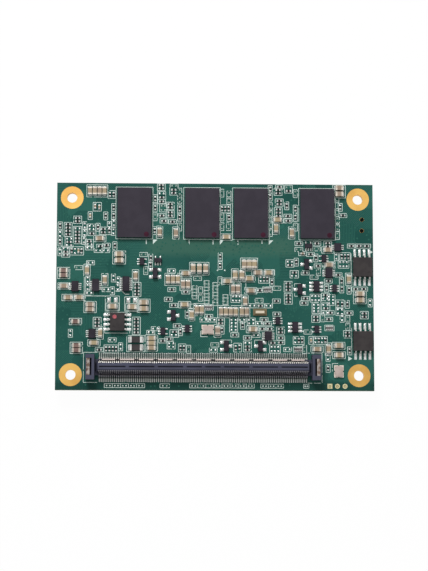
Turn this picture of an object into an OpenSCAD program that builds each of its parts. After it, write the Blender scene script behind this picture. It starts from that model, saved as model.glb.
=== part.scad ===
// System on module: a small computer board with one fine-pitch board-to-board connector.
// Origin: centre of the mounting-hole pattern, on the connector-side face of the board.
// X runs along the connector, Y across it, and Z points out of the connector side.

/* [Board] */
// Length of the board, along the connector
board_w = 84; // [84:0.5:100]
// Width of the board, across the connector
board_d = 55; // [55:0.5:70]
// Thickness of the laminate
board_t = 2; // [1.6:0.1:2.4]
// Bore of a mounting hole
hole_d = 2.7; // [2.2:0.1:3.4]
// Distance of a mounting hole from both edges of its corner
hole_inset = 4; // [3.5:0.1:5]
// Diameter of the plated land around a mounting hole
land_d = 6; // [5:0.1:7]
// Thickness of the plating in the holes and on the lands
plating_t = 0.05; // [0.03:0.01:0.1]
// Bore of the two small plated holes near the short edge
small_hole_d = 0.95; // [0.7:0.05:1.1]
// Width of the rim around a small plated hole
small_hole_rim = 0.1; // [0.05:0.05:0.3]
// Size across a test land
test_land_d = 1.3; // [1:0.05:1.6]
// Spacing of the test lands
test_land_pitch = 2; // [1.8:0.02:2.54]

/* [Connector contacts] */
// Contacts in each of the two rows
contacts_per_row = 110; // [60:10:110]
// Spacing of the contacts
contact_pitch = 0.5; // [0.45:0.01:0.5]
// Width of a contact
contact_w = 0.2; // [0.16:0.01:0.24]
// Thickness of the contact strip
contact_t = 0.12; // [0.1:0.01:0.15]
// Distance of the contact feet's tips from the connector's centre line
contact_reach = 3.7; // [3.5:0.05:4]
// Length of a contact's soldered foot
contact_foot = 0.75; // [0.5:0.05:0.9]
// Depth of a contact's upper bend below the top of the tongue
contact_tip_drop = 0.28; // [0.26:0.01:0.3]
// Reach of a contact's tip over the tongue, past the upper bend
contact_hook_l = 0.26; // [0.2:0.02:0.28]
// Rise of a contact's tip past the upper bend
contact_hook_h = 0.15; // [0.13:0.01:0.17]
// Height of the widest point of a contact's bulge above the board
contact_crest_h = 2.7; // [2.2:0.05:2.8]
// How far a contact bulges from the tongue
contact_bulge = 0.2; // [0.1:0.02:0.3]

/* [Connector housing] */
// Height of the tongue and the end blocks above the board
tongue_h = 3.9; // [3.9:0.1:5]
// Thickness of the tongue
tongue_w = 2.2; // [1.8:0.1:2.4]
// Plastic at each end of the tongue, past the last contact
tongue_overhang = 0.25; // [0.2:0.05:0.8]
// Width of the slot along the top of the tongue
tongue_slot_w = 0.35; // [0.2:0.05:0.6]
// Depth of the slot along the top of the tongue
tongue_slot_depth = 0.8; // [0.4:0.1:1.2]
// Length of a rib that bridges the slot
tongue_rib_l = 0.9; // [0.5:0.1:1.5]
// Distance of the first rib from the middle of the tongue
tongue_rib_first = 4.9; // [4:0.1:6]
// Spacing of the ribs after the first
tongue_rib_pitch = 7.5; // [6:0.1:8]
// Height of the housing's floor above the board
floor_h = 0.9; // [0.7:0.05:1.1]
// Distance of a side wall's outer face from the centre line
wall_reach = 2.1; // [2:0.05:2.3]
// Thickness of a side wall
wall_t = 0.32; // [0.25:0.01:0.4]
// Height of a side wall above the board
wall_h = 2.6; // [2:0.1:3.2]
// Width of a notch in a side wall
notch_w = 1.2; // [0.8:0.1:2]
// Spacing of the notches
notch_pitch = 5; // [4:0.5:8]
// Plastic of a side wall left under a notch
notch_sill = 0.5; // [0.3:0.05:0.8]
// Gap around a contact in its window through the side wall
window_gap = 0.03; // [0.02:0.01:0.05]
// Length of the wall left low at each end of a side wall
wall_end_l = 1.1; // [0.6:0.1:1.6]
// Length of an end of the housing, along the connector
end_l = 3.2; // [2.8:0.1:4]
// Width of an end block, across the connector
end_w = 6.6; // [6:0.1:7.2]
// Length of the neck between an end block and the tongue
neck_l = 0.9; // [0.6:0.1:1.1]
// Height of the neck above the board
neck_h = 1.3; // [1.1:0.1:2]
// Height of the ramp that leads from the neck up to the tongue
ramp_h = 2.1; // [1:0.1:2.4]
// Length of the ramp, along the connector
ramp_l = 0.7; // [0.3:0.1:0.9]
// Length of a hold-down plate, across the connector
hold_down_l = 4.4; // [4:0.1:5]
// Width of the folded top of a hold-down plate
hold_down_w = 0.85; // [0.7:0.05:1]
// Thickness of the hold-down strip
hold_down_t = 0.2; // [0.15:0.01:0.3]
// Length of the lip that turns down from the folded top
hold_down_lip = 1; // [0.5:0.1:2]
// How far the folded top of a hold-down lies below the block's top
hold_down_drop = 0.25; // [0.1:0.05:0.5]
// Plastic between a hold-down's slot and the connector's end
end_skin = 0.2; // [0.15:0.05:0.4]
// Gap around a hold-down plate in its slot
hold_down_gap = 0.05; // [0.03:0.01:0.1]
// Room for the mating part beside a hold-down plate
mating_room = 0.45; // [0.3:0.05:0.6]

/* [Memory chips] */
// Width of a memory package
memory_w = 9; // [8:0.1:9.5]
// Length of a memory package
memory_l = 13.3; // [11:0.1:13.5]
// Thickness of the moulding on a memory package
memory_mould_h = 0.75; // [0.6:0.05:0.9]
// Thickness of a memory package's carrier
memory_carrier_h = 0.2; // [0.15:0.01:0.3]
// Height of the soldered balls under the memory packages
memory_ball_h = 0.25; // [0.2:0.01:0.35]
// Diameter of a ball under the memory packages
memory_ball_d = 0.44; // [0.3:0.02:0.5]
// Spacing of the balls under the memory packages
memory_ball_pitch = 0.8; // [0.75:0.01:0.8]

/* [Flash chips] */
// Length of a flash chip's body, along its lead rows
flash_l = 5.25; // [5:0.05:5.4]
// Width of a flash chip's body, between its lead rows
flash_w = 5.25; // [5:0.05:5.4]
// Height of a flash chip above the board
flash_h = 1.9; // [1.6:0.05:2.2]
// Distance between the tips of a flash chip's lead rows
flash_span = 7.9; // [7.6:0.05:8.2]

/* [Controller chip] */
// Length of the controller chip's body, along its lead rows
controller_l = 4.9; // [4.7:0.05:5.1]
// Width of the controller chip's body, between its lead rows
controller_w = 3.9; // [3.7:0.05:4.1]
// Height of the controller chip above the board
controller_h = 1.6; // [1.4:0.05:1.8]
// Distance between the tips of the controller chip's lead rows
controller_span = 6; // [5.8:0.05:6.3]
// Leads on each side of the flash and controller chips
wide_leads = 4; // [3:1:4]
// Spacing of the leads on the flash and controller chips
wide_lead_pitch = 1.27; // [1.1:0.01:1.3]
// Width of a lead on the flash and controller chips
wide_lead_w = 0.42; // [0.3:0.02:0.5]
// Thickness of the leads on the flash and controller chips
wide_lead_t = 0.2; // [0.15:0.01:0.25]

/* [Small leaded chips] */
// Length of a transistor's body
transistor_l = 2.9; // [2.7:0.05:3.1]
// Width of a transistor's body, between its leads
transistor_w = 1.3; // [1.2:0.05:1.4]
// Height of a transistor above the board
transistor_h = 1; // [0.9:0.05:1.2]
// Distance between the tips of a transistor's leads
transistor_span = 2.4; // [2.2:0.05:2.6]
// Spacing of a transistor's paired leads
transistor_pitch = 1.9; // [1.7:0.05:2]
// Length of a regulator chip's body
regulator_l = 2.9; // [2.7:0.05:3.1]
// Width of a regulator chip's body, between its lead rows
regulator_w = 1.6; // [1.5:0.05:1.7]
// Distance between the tips of a regulator chip's lead rows
regulator_span = 2.8; // [2.6:0.05:3]
// Leads on each side of a regulator chip
regulator_leads = 3; // [2:1:3]
// Spacing of a regulator chip's leads
regulator_pitch = 0.95; // [0.85:0.01:1]
// Length of a logic chip's body
logic_l = 2; // [1.9:0.05:2.1]
// Width of a logic chip's body, between its lead rows
logic_w = 1.25; // [1.15:0.05:1.35]
// Height of a logic chip above the board
logic_h = 0.95; // [0.8:0.05:1.1]
// Distance between the tips of a logic chip's lead rows
logic_span = 2.1; // [1.95:0.05:2.2]
// Spacing of a logic chip's leads
logic_pitch = 0.65; // [0.6:0.01:0.7]
// Width of a driver chip's body, between its lead rows
driver_w = 1.9; // [1.7:0.05:2]
// Height of a driver chip above the board
driver_h = 0.9; // [0.8:0.05:1]
// Distance between the tips of a driver chip's lead rows
driver_span = 2.75; // [2.6:0.05:2.9]
// Spacing of a driver chip's leads
driver_pitch = 0.5; // [0.45:0.01:0.52]
// Width of a transistor's lead
transistor_lead_w = 0.42; // [0.3:0.02:0.5]
// Width of a lead on the regulator chips
regulator_lead_w = 0.36; // [0.25:0.02:0.45]
// Width of a lead on the logic and driver chips
fine_lead_w = 0.22; // [0.15:0.01:0.28]
// Thickness of the leads on the small chips
small_lead_t = 0.13; // [0.1:0.01:0.16]

/* [Crystals] */
// Length of a crystal's base
crystal_l = 3.2; // [3:0.05:3.3]
// Width of a crystal's base
crystal_w = 2.5; // [2.3:0.05:2.6]
// Height of a crystal's base
crystal_base_h = 0.5; // [0.4:0.05:0.6]
// Height of a crystal's lid above its base
crystal_lid_h = 0.25; // [0.15:0.05:0.4]
// Margin of the base around the lid
crystal_margin = 0.22; // [0.15:0.01:0.3]
// Radius of the round notch in the middle of each side of a crystal's base
crystal_notch_r = 0.2; // [0.1:0.01:0.25]
// Length of the clock crystal's base
clock_l = 3.6; // [3.2:0.05:3.8]
// Width of the clock crystal's base
clock_w = 1.8; // [1.5:0.05:1.9]
// Margin of the clock crystal's base around its lid
clock_margin = 0.3; // [0.2:0.01:0.4]

/* [Chip parts] */
// Length of a small chip part
small_l = 1; // [0.9:0.02:1.06]
// Width of a small chip part
small_w = 0.5; // [0.4:0.02:0.56]
// Height of a small chip capacitor
small_capacitor_h = 0.5; // [0.4:0.02:0.6]
// Height of a small chip resistor
small_resistor_h = 0.35; // [0.25:0.01:0.45]
// Length of a small part's end cap
small_band = 0.2; // [0.15:0.01:0.3]
// Gap between small parts in a row
small_gap = 0.38; // [0.3:0.01:0.42]
// Length of a medium chip part
medium_l = 1.9; // [1.6:0.02:2]
// Width of a medium chip part
medium_w = 1.1; // [0.8:0.02:1.2]
// Height of a medium chip part
medium_h = 0.8; // [0.6:0.05:0.95]
// Length of a medium part's end cap
medium_band = 0.32; // [0.25:0.01:0.45]
// Gap between medium parts in a row
medium_gap = 0.18; // [0.1:0.01:0.3]
// Length of a large chip part
large_l = 2; // [1.9:0.05:2.1]
// Width of a large chip part
large_w = 1.25; // [1.15:0.05:1.3]
// Height of a large chip capacitor
large_capacitor_h = 1.25; // [0.8:0.05:1.4]
// Length of a large part's end cap
large_band = 0.45; // [0.3:0.01:0.55]
// Gap between large parts in a row
large_gap = 0.4; // [0.3:0.01:0.45]
// Length of a power resistor
power_resistor_l = 3.2; // [3:0.05:3.3]
// Width of a power resistor
power_resistor_w = 1.6; // [1.5:0.05:1.7]
// Height of a power resistor
power_resistor_h = 0.6; // [0.5:0.05:0.8]
// Length of a power resistor's end cap
power_resistor_band = 0.5; // [0.4:0.05:0.7]
// Length of a resistor array
array_l = 2; // [1.9:0.05:2.1]
// Width of a resistor array
array_w = 1; // [0.9:0.02:1.06]
// Height of a resistor array
array_h = 0.45; // [0.35:0.01:0.55]
// Width of one end cap on a resistor array
array_cap_w = 0.3; // [0.2:0.01:0.35]
// Depth of one end cap on a resistor array
array_band = 0.2; // [0.15:0.01:0.25]
// How far an end cap stands proud of the part's core
cap_lip = 0.02; // [0.01:0.005:0.04]

/* [Processor and hub] */
// Side of the processor's square carrier
processor_side = 22; // [21.5:0.1:23]
// Thickness of the processor's carrier
processor_carrier_h = 0.9; // [0.7:0.05:1.2]
// Length of the processor's die
die_l = 9.6; // [8:0.1:11]
// Width of the processor's die
die_w = 7; // [6:0.1:9]
// Thickness of the processor's die
die_h = 0.8; // [0.6:0.05:1]
// Side of the hub's square carrier
hub_side = 17; // [16.5:0.1:17.6]
// Thickness of the hub's carrier
hub_carrier_h = 0.5; // [0.4:0.05:0.7]
// Thickness of the moulding on the hub
hub_mould_h = 0.9; // [0.7:0.05:1.1]
// Margin of the hub's carrier around its moulding
hub_margin = 0.8; // [0.4:0.1:1.5]
// Height of the soldered balls under the processor and the hub
grid_ball_h = 0.35; // [0.25:0.01:0.5]
// Diameter of a ball under the processor and the hub
grid_ball_d = 0.6; // [0.4:0.02:0.7]
// Spacing of the balls under the processor and the hub
grid_ball_pitch = 1; // [0.9:0.02:1]
// Rows of balls around the edge of a carrier
grid_ball_rows = 3; // [2:1:4]

/* [Power parts] */
// Side of a power inductor's square body
inductor_side = 6.6; // [6:0.1:7]
// Height of a power inductor below the board
inductor_h = 3; // [2.6:0.1:4]
// Width of an inductor's terminal
inductor_terminal_w = 3; // [2:0.1:3.6]
// Thickness of an inductor's terminal
inductor_terminal_t = 0.15; // [0.1:0.01:0.2]
// Height of an inductor's terminal on the side of the body
inductor_terminal_h = 1.2; // [0.8:0.1:1.6]
// Length of an inductor's terminal under the body
inductor_terminal_l = 1.5; // [1:0.1:2]
// Length of a bulk capacitor
bulk_l = 7.3; // [7:0.1:7.5]
// Width of a bulk capacitor
bulk_w = 4.3; // [4:0.1:4.5]
// Height of a bulk capacitor
bulk_h = 1.9; // [1.5:0.1:2.4]
// Width of a bulk capacitor's terminal
bulk_terminal_w = 2.4; // [1.5:0.1:3]
// Thickness of a bulk capacitor's terminal
bulk_terminal_t = 0.15; // [0.1:0.01:0.25]
// Side of a power transistor's square body
power_transistor_side = 3.3; // [3:0.05:3.5]
// Side of the power controller's square body
power_controller_side = 5; // [4.8:0.1:5.4]
// Side of the network chip's square body
network_side = 8; // [7:0.1:8.6]
// Height of the flat leadless chips
flat_chip_h = 0.85; // [0.7:0.05:1]
// Spacing of the pads around a flat leadless chip
flat_pad_pitch = 0.5; // [0.45:0.01:0.65]
// Width of a pad on a flat leadless chip
flat_pad_w = 0.25; // [0.18:0.01:0.3]
// How far a pad shows past the side of a flat leadless chip
flat_pad_reach = 0.12; // [0.05:0.01:0.2]
// Height of a pad on the side of a flat leadless chip
flat_pad_h = 0.2; // [0.1:0.01:0.25]

/* [Hidden] */
$fn = 32;

// The placement grid has one step for each millimetre of the standard outline and stretches with the board
grid_steps = [84, 55];

// Places on the connector side, in grid steps from the corner nearest the connector's first contact
connector_place = [38.85, 5.95];
memory_places = [[20.5, 47], [38.45, 47], [51.45, 47], [69.1, 47]];
flash_upper_place = [81, 32.75];
flash_lower_place = [81, 13.1];
controller_place = [16.2, 17.9];
small_hole_places = [[81.05, 45.6], [81, 42.6]];
test_land_place = [72.25, 1.2];
test_land_count = 3;
crystal_places = [[40, 16, 0], [74.6, 5.1, 90]];
clock_crystal_place = [53.8, 20.7];

// Driver chips: place, body length, leads on each side
driver_places = [[5, 27.3, 2.8, 4], [10.4, 27.6, 3.3, 5], [18.4, 28, 4, 7], [9.6, 14.8, 2.5, 4],
    [56, 14.4, 2.5, 4], [74.5, 38.1, 2.2, 3], [72.1, 31.2, 2.7, 4]];
// Transistors: place, leads on the left, leads on the right
transistor_places = [[30.9, 19.7, 2, 1], [26.1, 30.9, 2, 2], [66.2, 33.5, 1, 2], [64.4, 26.8, 1, 2],
    [44.9, 11.7, 2, 1], [53.9, 11.7, 1, 2]];
// Regulator chips: place
regulator_places = [[68.8, 27.6], [63.1, 16.7]];
// Logic chips: place, turn, leads on the left before the turn, leads on the right
logic_places = [[22.6, 34, 0, 3, 2], [26.8, 34.3, 90, 3, 2], [66.7, 38.4, 90, 3, 2], [70.8, 35.1, 0, 2, 3],
    [73.6, 27.1, 0, 3, 3], [58.5, 18.4, 0, 3, 3], [68.8, 16.2, 0, 2, 3], [28.2, 15.5, 0, 3, 2],
    [34.6, 16.2, 0, 3, 3]];

// Chip parts: place of the first part and how many stand side by side.
// Parts that lie along X step towards the connector, and parts that lie across step to the right.
small_resistors_along = [[3, 43.8, 4], [3.3, 39.12, 1], [5.5, 45.5, 2], [5.5, 41.85, 4], [2.45, 36.5, 2],
    [9.3, 41.4, 1], [12.3, 42.6, 2], [8.6, 39.3, 1], [11.6, 38, 1], [13.2, 38.3, 1], [27.6, 54.5, 2],
    [27.75, 51.2, 1], [27.7, 50.1, 1], [27.8, 46.3, 1], [28.35, 44.9, 1], [30, 49.4, 2], [30, 47.2, 2],
    [30.6, 44.7, 1], [30.9, 53.3, 2], [59.1, 54.3, 1], [58.7, 53.42, 2], [59, 50.5, 2], [58.75, 48.2, 3],
    [61.5, 53.2, 1], [61.3, 46.4, 1], [61.35, 45.15, 1], [76, 46.7, 1], [64.2, 39.1, 1], [69, 39.1, 1],
    [71.9, 39.2, 2], [67.3, 36.2, 1], [61.8, 33.3, 1], [65.85, 31.25, 1], [63, 31.3, 1], [69.3, 33.1, 1],
    [78.2, 38.5, 1], [80.2, 38.5, 1], [82.3, 38.5, 1], [72, 29.1, 1], [74.6, 30.75, 1], [79.25, 27, 1],
    [81.4, 27, 1], [81.5, 20.5, 2], [61.3, 28.4, 3], [61.35, 25.2, 3], [58.2, 23.7, 1], [58.3, 20.2, 1],
    [53.95, 22.4, 1], [53.8, 26.5, 1], [30.5, 26.6, 1], [29.6, 24, 1], [31, 22.4, 1], [34.2, 26, 1],
    [21.3, 27.9, 4], [10.9, 18.6, 3], [21.2, 18.7, 5], [40.3, 19.5, 1], [43.4, 18.6, 2], [55.8, 17.7, 1],
    [54.9, 18.7, 1], [54.4, 16.3, 1], [56.4, 16.3, 1], [47.15, 14.65, 1], [50.5, 13.9, 1], [50.5, 11.6, 2],
    [59.25, 16.25, 2], [59.3, 13.9, 1], [59.3, 12.7, 1], [57.2, 12.6, 1], [65.9, 24.4, 1], [65.5, 23.2, 1],
    [68.6, 19.5, 2], [77, 15.4, 2], [77.45, 20.6, 1], [11.5, 10.6, 1], [31.3, 15.4, 1], [32, 17, 1],
    [28.2, 13, 1], [29.8, 13.5, 1], [71.2, 25.3, 1], [71.3, 21.8, 1], [72.45, 20.65, 1], [72.05, 18.9, 1]];
small_resistors_across = [[14, 51.9, 1], [14.95, 51.9, 1], [15, 48.4, 1], [15, 46.2, 1], [12.9, 46.15, 1],
    [0.9, 43.4, 1], [0.9, 39.1, 1], [4, 36.8, 1], [6.6, 36.7, 1], [10.9, 43.1, 1], [13.9, 42.2, 1],
    [15.4, 38.2, 1], [26, 50.85, 1], [26, 48.4, 1], [25.9, 42.3, 1], [32.5, 48.15, 1], [32.5, 45.95, 1],
    [43.75, 48.25, 3], [45.6, 45.95, 1], [56.6, 53.6, 1], [56.6, 51.55, 1], [61, 49.2, 1],
    [63.3, 48.35, 1], [63.3, 46.1, 1], [75.3, 48.9, 1], [24.9, 34.95, 1], [24.85, 33.2, 1],
    [43.3, 35.4, 1], [43.3, 33.1, 1], [54.88, 29.5, 2], [57, 28.7, 1], [34.6, 20.1, 1], [43.8, 15.9, 1],
    [49.2, 17.2, 1], [47.4, 11.2, 1], [48.4, 11.4, 1], [32.85, 11.15, 2], [64.05, 13.25, 2],
    [69.35, 13.3, 1], [71.1, 13.3, 1], [77.5, 10.55, 1], [75.6, 35.65, 3], [68.7, 35.25, 1],
    [63.5, 34.1, 1], [75.5, 29.1, 1], [75.55, 27, 1], [77.5, 26.7, 1], [71.5, 27.2, 1], [74.5, 23, 1],
    [75.6, 22.9, 1], [77, 22.9, 1], [71.8, 5.9, 1], [32.8, 15.45, 1], [13.3, 10.8, 4]];
small_capacitors_along = [[65.2, 36.4, 1]];
small_capacitors_across = [[10.1, 48.7, 1], [11.2, 48.5, 1], [8.8, 46.2, 1], [5.8, 36.8, 1], [67.3, 13.3, 1]];
medium_capacitors_along = [[34.2, 30.9, 1], [2.1, 27.4, 1], [3.2, 24.35, 1], [6.1, 24.4, 1], [9, 22.5, 2],
    [10.1, 12.4, 1], [53.3, 31.2, 1], [56.1, 31.2, 1], [51, 29.6, 1], [45.3, 28.9, 1], [51.4, 26.4, 1],
    [58.5, 45.4, 1], [71.9, 37.4, 1], [72.2, 33.4, 1], [68.9, 10.95, 1], [44.9, 40.7, 1], [11.4, 40.1, 1],
    [25.2, 13.7, 3], [33.9, 22.6, 1]];
medium_capacitors_across = [[8.7, 52.85, 4], [8.1, 31.6, 1], [12.8, 29.1, 1], [20.9, 30.2, 1],
    [29.5, 29.3, 3], [33.5, 28, 2], [46.7, 26.8, 2], [37.1, 21.3, 2], [35.75, 19.9, 1], [49.9, 23.6, 1],
    [43.5, 20.8, 4], [49, 20.8, 2], [27.2, 41.9, 1], [31.5, 41.7, 1], [58.1, 43.1, 1], [62.3, 41.9, 1],
    [77.4, 29.6, 1], [71.9, 11, 1], [11.7, 15, 1]];
ferrite_beads_along = [[5.2, 18, 1], [5.5, 11.7, 2], [1.95, 31.5, 2]];
large_capacitors_along = [[16.55, 35.9, 2], [14.9, 22, 1], [20.1, 21.9, 1], [23.1, 23.1, 2],
    [80.35, 25.65, 2], [75, 54, 2], [51.9, 16.15, 1], [74.6, 11.9, 1], [74.7, 9.4, 1]];
large_capacitors_across = [[36.1, 32.2, 3], [49.6, 33.4, 1], [50.95, 33.4, 1], [52.3, 33.4, 1],
    [47.2, 30.5, 1], [49, 30.5, 1], [42.6, 15.7, 1]];
power_resistor_places = [[21.1, 13.3], [21.1, 11.2]];
array_places = [[63.9, 10.9], [72.2, 16.6], [55.8, 26.7], [40.2, 21.9]];

// Places on the underside, in the same grid, seen through the board
processor_place = [42, 30];
hub_place = [66, 19];
network_place = [63, 37];
power_controller_place = [21, 31];
inductor_places = [[12, 46], [20.5, 46], [29, 46], [72, 46], [14, 8], [70, 6]];
power_transistor_places = [[10, 39.5], [14.4, 39.5], [18.8, 39.5], [23.2, 39.5], [27.6, 39.5], [64.5, 46],
    [21, 8], [62.5, 6]];
bulk_capacitor_places = [[9, 32], [9, 25.5], [42, 48], [52, 48]];
underside_crystal_place = [72, 37];
underside_capacitors_along = [[28.8, 36, 10], [55.2, 38, 10], [55.2, 25, 6]];
underside_capacitors_across = [[37, 43.2, 12], [37, 16.8, 12], [59, 29.6, 10]];
underside_resistors_along = [[25.9, 33.2, 5], [16.2, 33.2, 5], [25.5, 25, 6], [77.5, 22, 6], [69.4, 34, 2]];
underside_resistors_across = [[30, 12, 8], [30, 9.5, 8], [44, 9.5, 8], [60, 43, 4]];
underside_large_along = [[9, 21, 2], [78, 38, 3]];
underside_large_across = [[9.8, 52, 3], [18.5, 52, 3], [27, 52, 3], [70, 52, 3], [20, 4, 2]];

// Colours of the pieces
solder_mask = "#2f6a5f";
gold = "#d9b36a";
tin = "#c9cbc8";
moulding = "#35323a";
connector_plastic = "#45424f";
capacitor_tan = "#a8946c";
resistor_black = "#2a2828";
ferrite_brown = "#6b4438";
ceramic_grey = "#8f8a86";
crystal_steel = "#c4b8b2";
carrier_green = "#3f6b45";
silicon = "#5d6470";
inductor_grey = "#4b4b4d";

// Derived sizes of the connector
contact_span = (contacts_per_row - 1) * contact_pitch;
tongue_half = contact_span / 2 + contact_w / 2 + tongue_overhang;
connector_half = tongue_half + end_l;
shelf_h = floor_h + contact_t / 2;
tongue_face = tongue_w / 2;
tongue_bevel = 0.4;
floor_clear = 0.15;
hold_down_x = connector_half - end_skin - hold_down_gap - hold_down_w / 2;
cut_past = 1;

// Derived sizes of the packages, as length, width, height, lead span, lead pitch, lead width, lead thickness
flash_size = [flash_l, flash_w, flash_h, flash_span, wide_lead_pitch, wide_lead_w, wide_lead_t];
controller_size = [controller_l, controller_w, controller_h, controller_span, wide_lead_pitch, wide_lead_w,
    wide_lead_t];
transistor_size = [transistor_l, transistor_w, transistor_h, transistor_span, transistor_pitch,
    transistor_lead_w, small_lead_t];
regulator_size = [regulator_l, regulator_w, transistor_h, regulator_span, regulator_pitch, regulator_lead_w,
    small_lead_t];
logic_size = [logic_l, logic_w, logic_h, logic_span, logic_pitch, fine_lead_w, small_lead_t];
function driver_size(length) = [length, driver_w, driver_h, driver_span, driver_pitch, fine_lead_w,
    small_lead_t];
bulk_size = [bulk_w, bulk_l, bulk_h, bulk_l + 2 * bulk_terminal_t, bulk_w, bulk_terminal_w, bulk_terminal_t];
package_standoff = 0.1;
package_draft = 0.12;
lead_shoulder_share = 0.25;
lead_foot_share = 0.5;

// Derived heights above the face that a stacked package is soldered to
memory_mould_z = memory_ball_h + memory_carrier_h;
die_z = grid_ball_h + processor_carrier_h;
hub_mould_z = grid_ball_h + hub_carrier_h;

// Derived sizes of the chip parts, as length, width, height, end cap length
small_capacitor_size = [small_l, small_w, small_capacitor_h, small_band];
small_resistor_size = [small_l, small_w, small_resistor_h, small_band];
medium_size = [medium_l, medium_w, medium_h, medium_band];
large_size = [large_l, large_w, large_capacitor_h, large_band];
power_resistor_size = [power_resistor_l, power_resistor_w, power_resistor_h, power_resistor_band];
array_elements = 4;

// A strip of even thickness along a path, as one outline
function run(a, b) = (b - a) / norm(b - a);
function left_of(d) = [-d[1], d[0]];
function strip_offset(path, i) =
    let (last = len(path) - 1)
    let (before = left_of(run(path[max(i - 1, 0)], path[max(i, 1)])))
    let (after = left_of(run(path[min(i, last - 1)], path[min(i + 1, last)])))
    (before + after) / (1 + before * after);
function strip(path, t) = concat(
    [for (i = [0 : len(path) - 1]) path[i] + strip_offset(path, i) * t / 2],
    [for (i = [len(path) - 1 : -1 : 0]) path[i] - strip_offset(path, i) * t / 2]);

// Moves a piece to a place on the grid
module at(place) {
    x = (place[0] / grid_steps[0] - 0.5) * board_w;
    y = (place[1] / grid_steps[1] - 0.5) * board_d;
    translate([x, y, 0]) children();
}

// Turns pieces that stand on the connector side over to the underside
module underside() {
    translate([0, 0, -board_t]) mirror([0, 0, 1]) children();
}

// Rows of chip parts that lie along X
module parts_along(rows, pitch) {
    for (row = rows, i = [0 : row[2] - 1])
        at(row) translate([0, -i * pitch, 0]) children();
}

// Rows of chip parts that lie across X
module parts_across(rows, pitch) {
    for (row = rows, i = [0 : row[2] - 1])
        at(row) translate([i * pitch, 0, 0]) rotate(90) children();
}

// The corners of the mounting pattern
module at_mounting_holes() {
    for (x = [-1, 1], y = [-1, 1])
        translate([x * (board_w / 2 - hole_inset), y * (board_d / 2 - hole_inset), 0]) children();
}

// A bar that stands on the board, centred on its place
module block(l, w, h) {
    translate([-l / 2, -w / 2, 0]) cube([l, w, h]);
}

// A strip of metal bent along a path in Y and Z, centred on X
module bent_strip(path, t, w) {
    translate([-w / 2, 0, 0]) rotate([90, 0, 90]) linear_extrude(w) polygon(strip(path, t));
}

// A plate with rounded corners
module rounded_plate(l, w, h, r) {
    steps = 4;
    centres = [[1, 1], [-1, 1], [-1, -1], [1, -1]];
    linear_extrude(h) polygon([for (q = [0 : 3], s = [0 : steps])
        let (a = 90 * q + 90 * s / steps)
        [centres[q][0] * (l / 2 - r) + r * cos(a), centres[q][1] * (w / 2 - r) + r * sin(a)]]);
}

// Outline of a moulded body, drafted both ways from a flat band at its leads
function moulded_profile(w, h, band) =
    let (mid = (h + package_standoff) / 2, half = w / 2, top = half - package_draft)
    [[-top, package_standoff], [top, package_standoff], [half, mid - band / 2], [half, mid + band / 2],
     [top, h], [-top, h], [-half, mid + band / 2], [-half, mid - band / 2]];

// Moulded body of a leaded chip: lead rows on the left and right
module moulded_body(size) {
    intersection() {
        translate([0, size[0] / 2, 0]) rotate([90, 0, 0]) linear_extrude(size[0])
            polygon(moulded_profile(size[1], size[2], size[6]));
        translate([-size[1] / 2, 0, 0]) rotate([90, 0, 90]) linear_extrude(size[1])
            polygon(moulded_profile(size[0], size[2], size[6]));
    }
}

// One row of bent leads on the right side of a chip
module lead_row(size, count) {
    mid = (size[2] + package_standoff) / 2;
    reach = size[3] / 2;
    room = reach - size[1] / 2;
    path = [[size[1] / 2, mid], [size[1] / 2 + lead_shoulder_share * room, mid],
        [reach - lead_foot_share * room, size[6] / 2],
        [reach, size[6] / 2]];
    for (i = [0 : count - 1])
        translate([0, (i - (count - 1) / 2) * size[4], 0]) rotate(-90) bent_strip(path, size[6], size[5]);
}

// Both rows of leads
module lead_rows(size, left, right) {
    rotate(180) lead_row(size, left);
    lead_row(size, right);
}

// Core of a two-ended chip part
module chip_core(size) {
    translate([0, 0, cap_lip]) block(size[0] - 2 * size[3], size[1] - 2 * cap_lip, size[2] - 2 * cap_lip);
}

// The two end caps of a chip part
module end_caps(size) {
    for (s = [-1, 1])
        translate([s * (size[0] - size[3]) / 2, 0, 0]) block(size[3], size[1], size[2]);
}

// A ball of solder pressed between two lands
module solder_ball(d, h) {
    seat = 0.4 * d;
    rotate_extrude() polygon([[0, 0], [seat, 0], [d / 2, h / 2], [seat, h], [0, h]]);
}

// A frame of balls around the edge of a square carrier
module ball_frame(side) {
    count = floor((side - grid_ball_d) / grid_ball_pitch);
    for (i = [0 : count - 1], j = [0 : count - 1])
        if (min(i, j, count - 1 - i, count - 1 - j) < grid_ball_rows)
            translate([(i - (count - 1) / 2) * grid_ball_pitch, (j - (count - 1) / 2) * grid_ball_pitch, 0])
                solder_ball(grid_ball_d, grid_ball_h);
}

// Pads on the sides of a flat leadless chip that the turns name
module side_pads(side, turns) {
    count = floor(side / flat_pad_pitch) - 2;
    for (turn = turns, i = [0 : count - 1])
        rotate(turn) translate([side / 2, (i - (count - 1) / 2) * flat_pad_pitch - flat_pad_w / 2, 0])
            cube([flat_pad_reach, flat_pad_w, flat_pad_h]);
}

// Laminate with its holes, and shallow seats for the lands
module circuit_board() {
    through = board_t + 2 * cut_past;
    color(solder_mask) difference() {
        translate([-board_w / 2, -board_d / 2, -board_t]) cube([board_w, board_d, board_t]);
        at_mounting_holes() translate([0, 0, -board_t - cut_past])
            cylinder(d = hole_d + 2 * plating_t, h = through);
        at_mounting_holes() translate([0, 0, -plating_t]) cylinder(d = land_d, h = cut_past);
        at_mounting_holes() translate([0, 0, -board_t - cut_past])
            cylinder(d = land_d, h = cut_past + plating_t);
        for (place = small_hole_places) {
            rim_d = small_hole_d + 2 * small_hole_rim;
            at(place) translate([0, 0, -board_t - cut_past])
                cylinder(d = small_hole_d + 2 * plating_t, h = through);
            at(place) translate([0, 0, -plating_t]) cylinder(d = rim_d, h = cut_past);
            at(place) translate([0, 0, -board_t - cut_past]) cylinder(d = rim_d, h = cut_past + plating_t);
        }
        translate([0, 0, -plating_t]) test_land_shapes(cut_past);
    }
}

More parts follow.
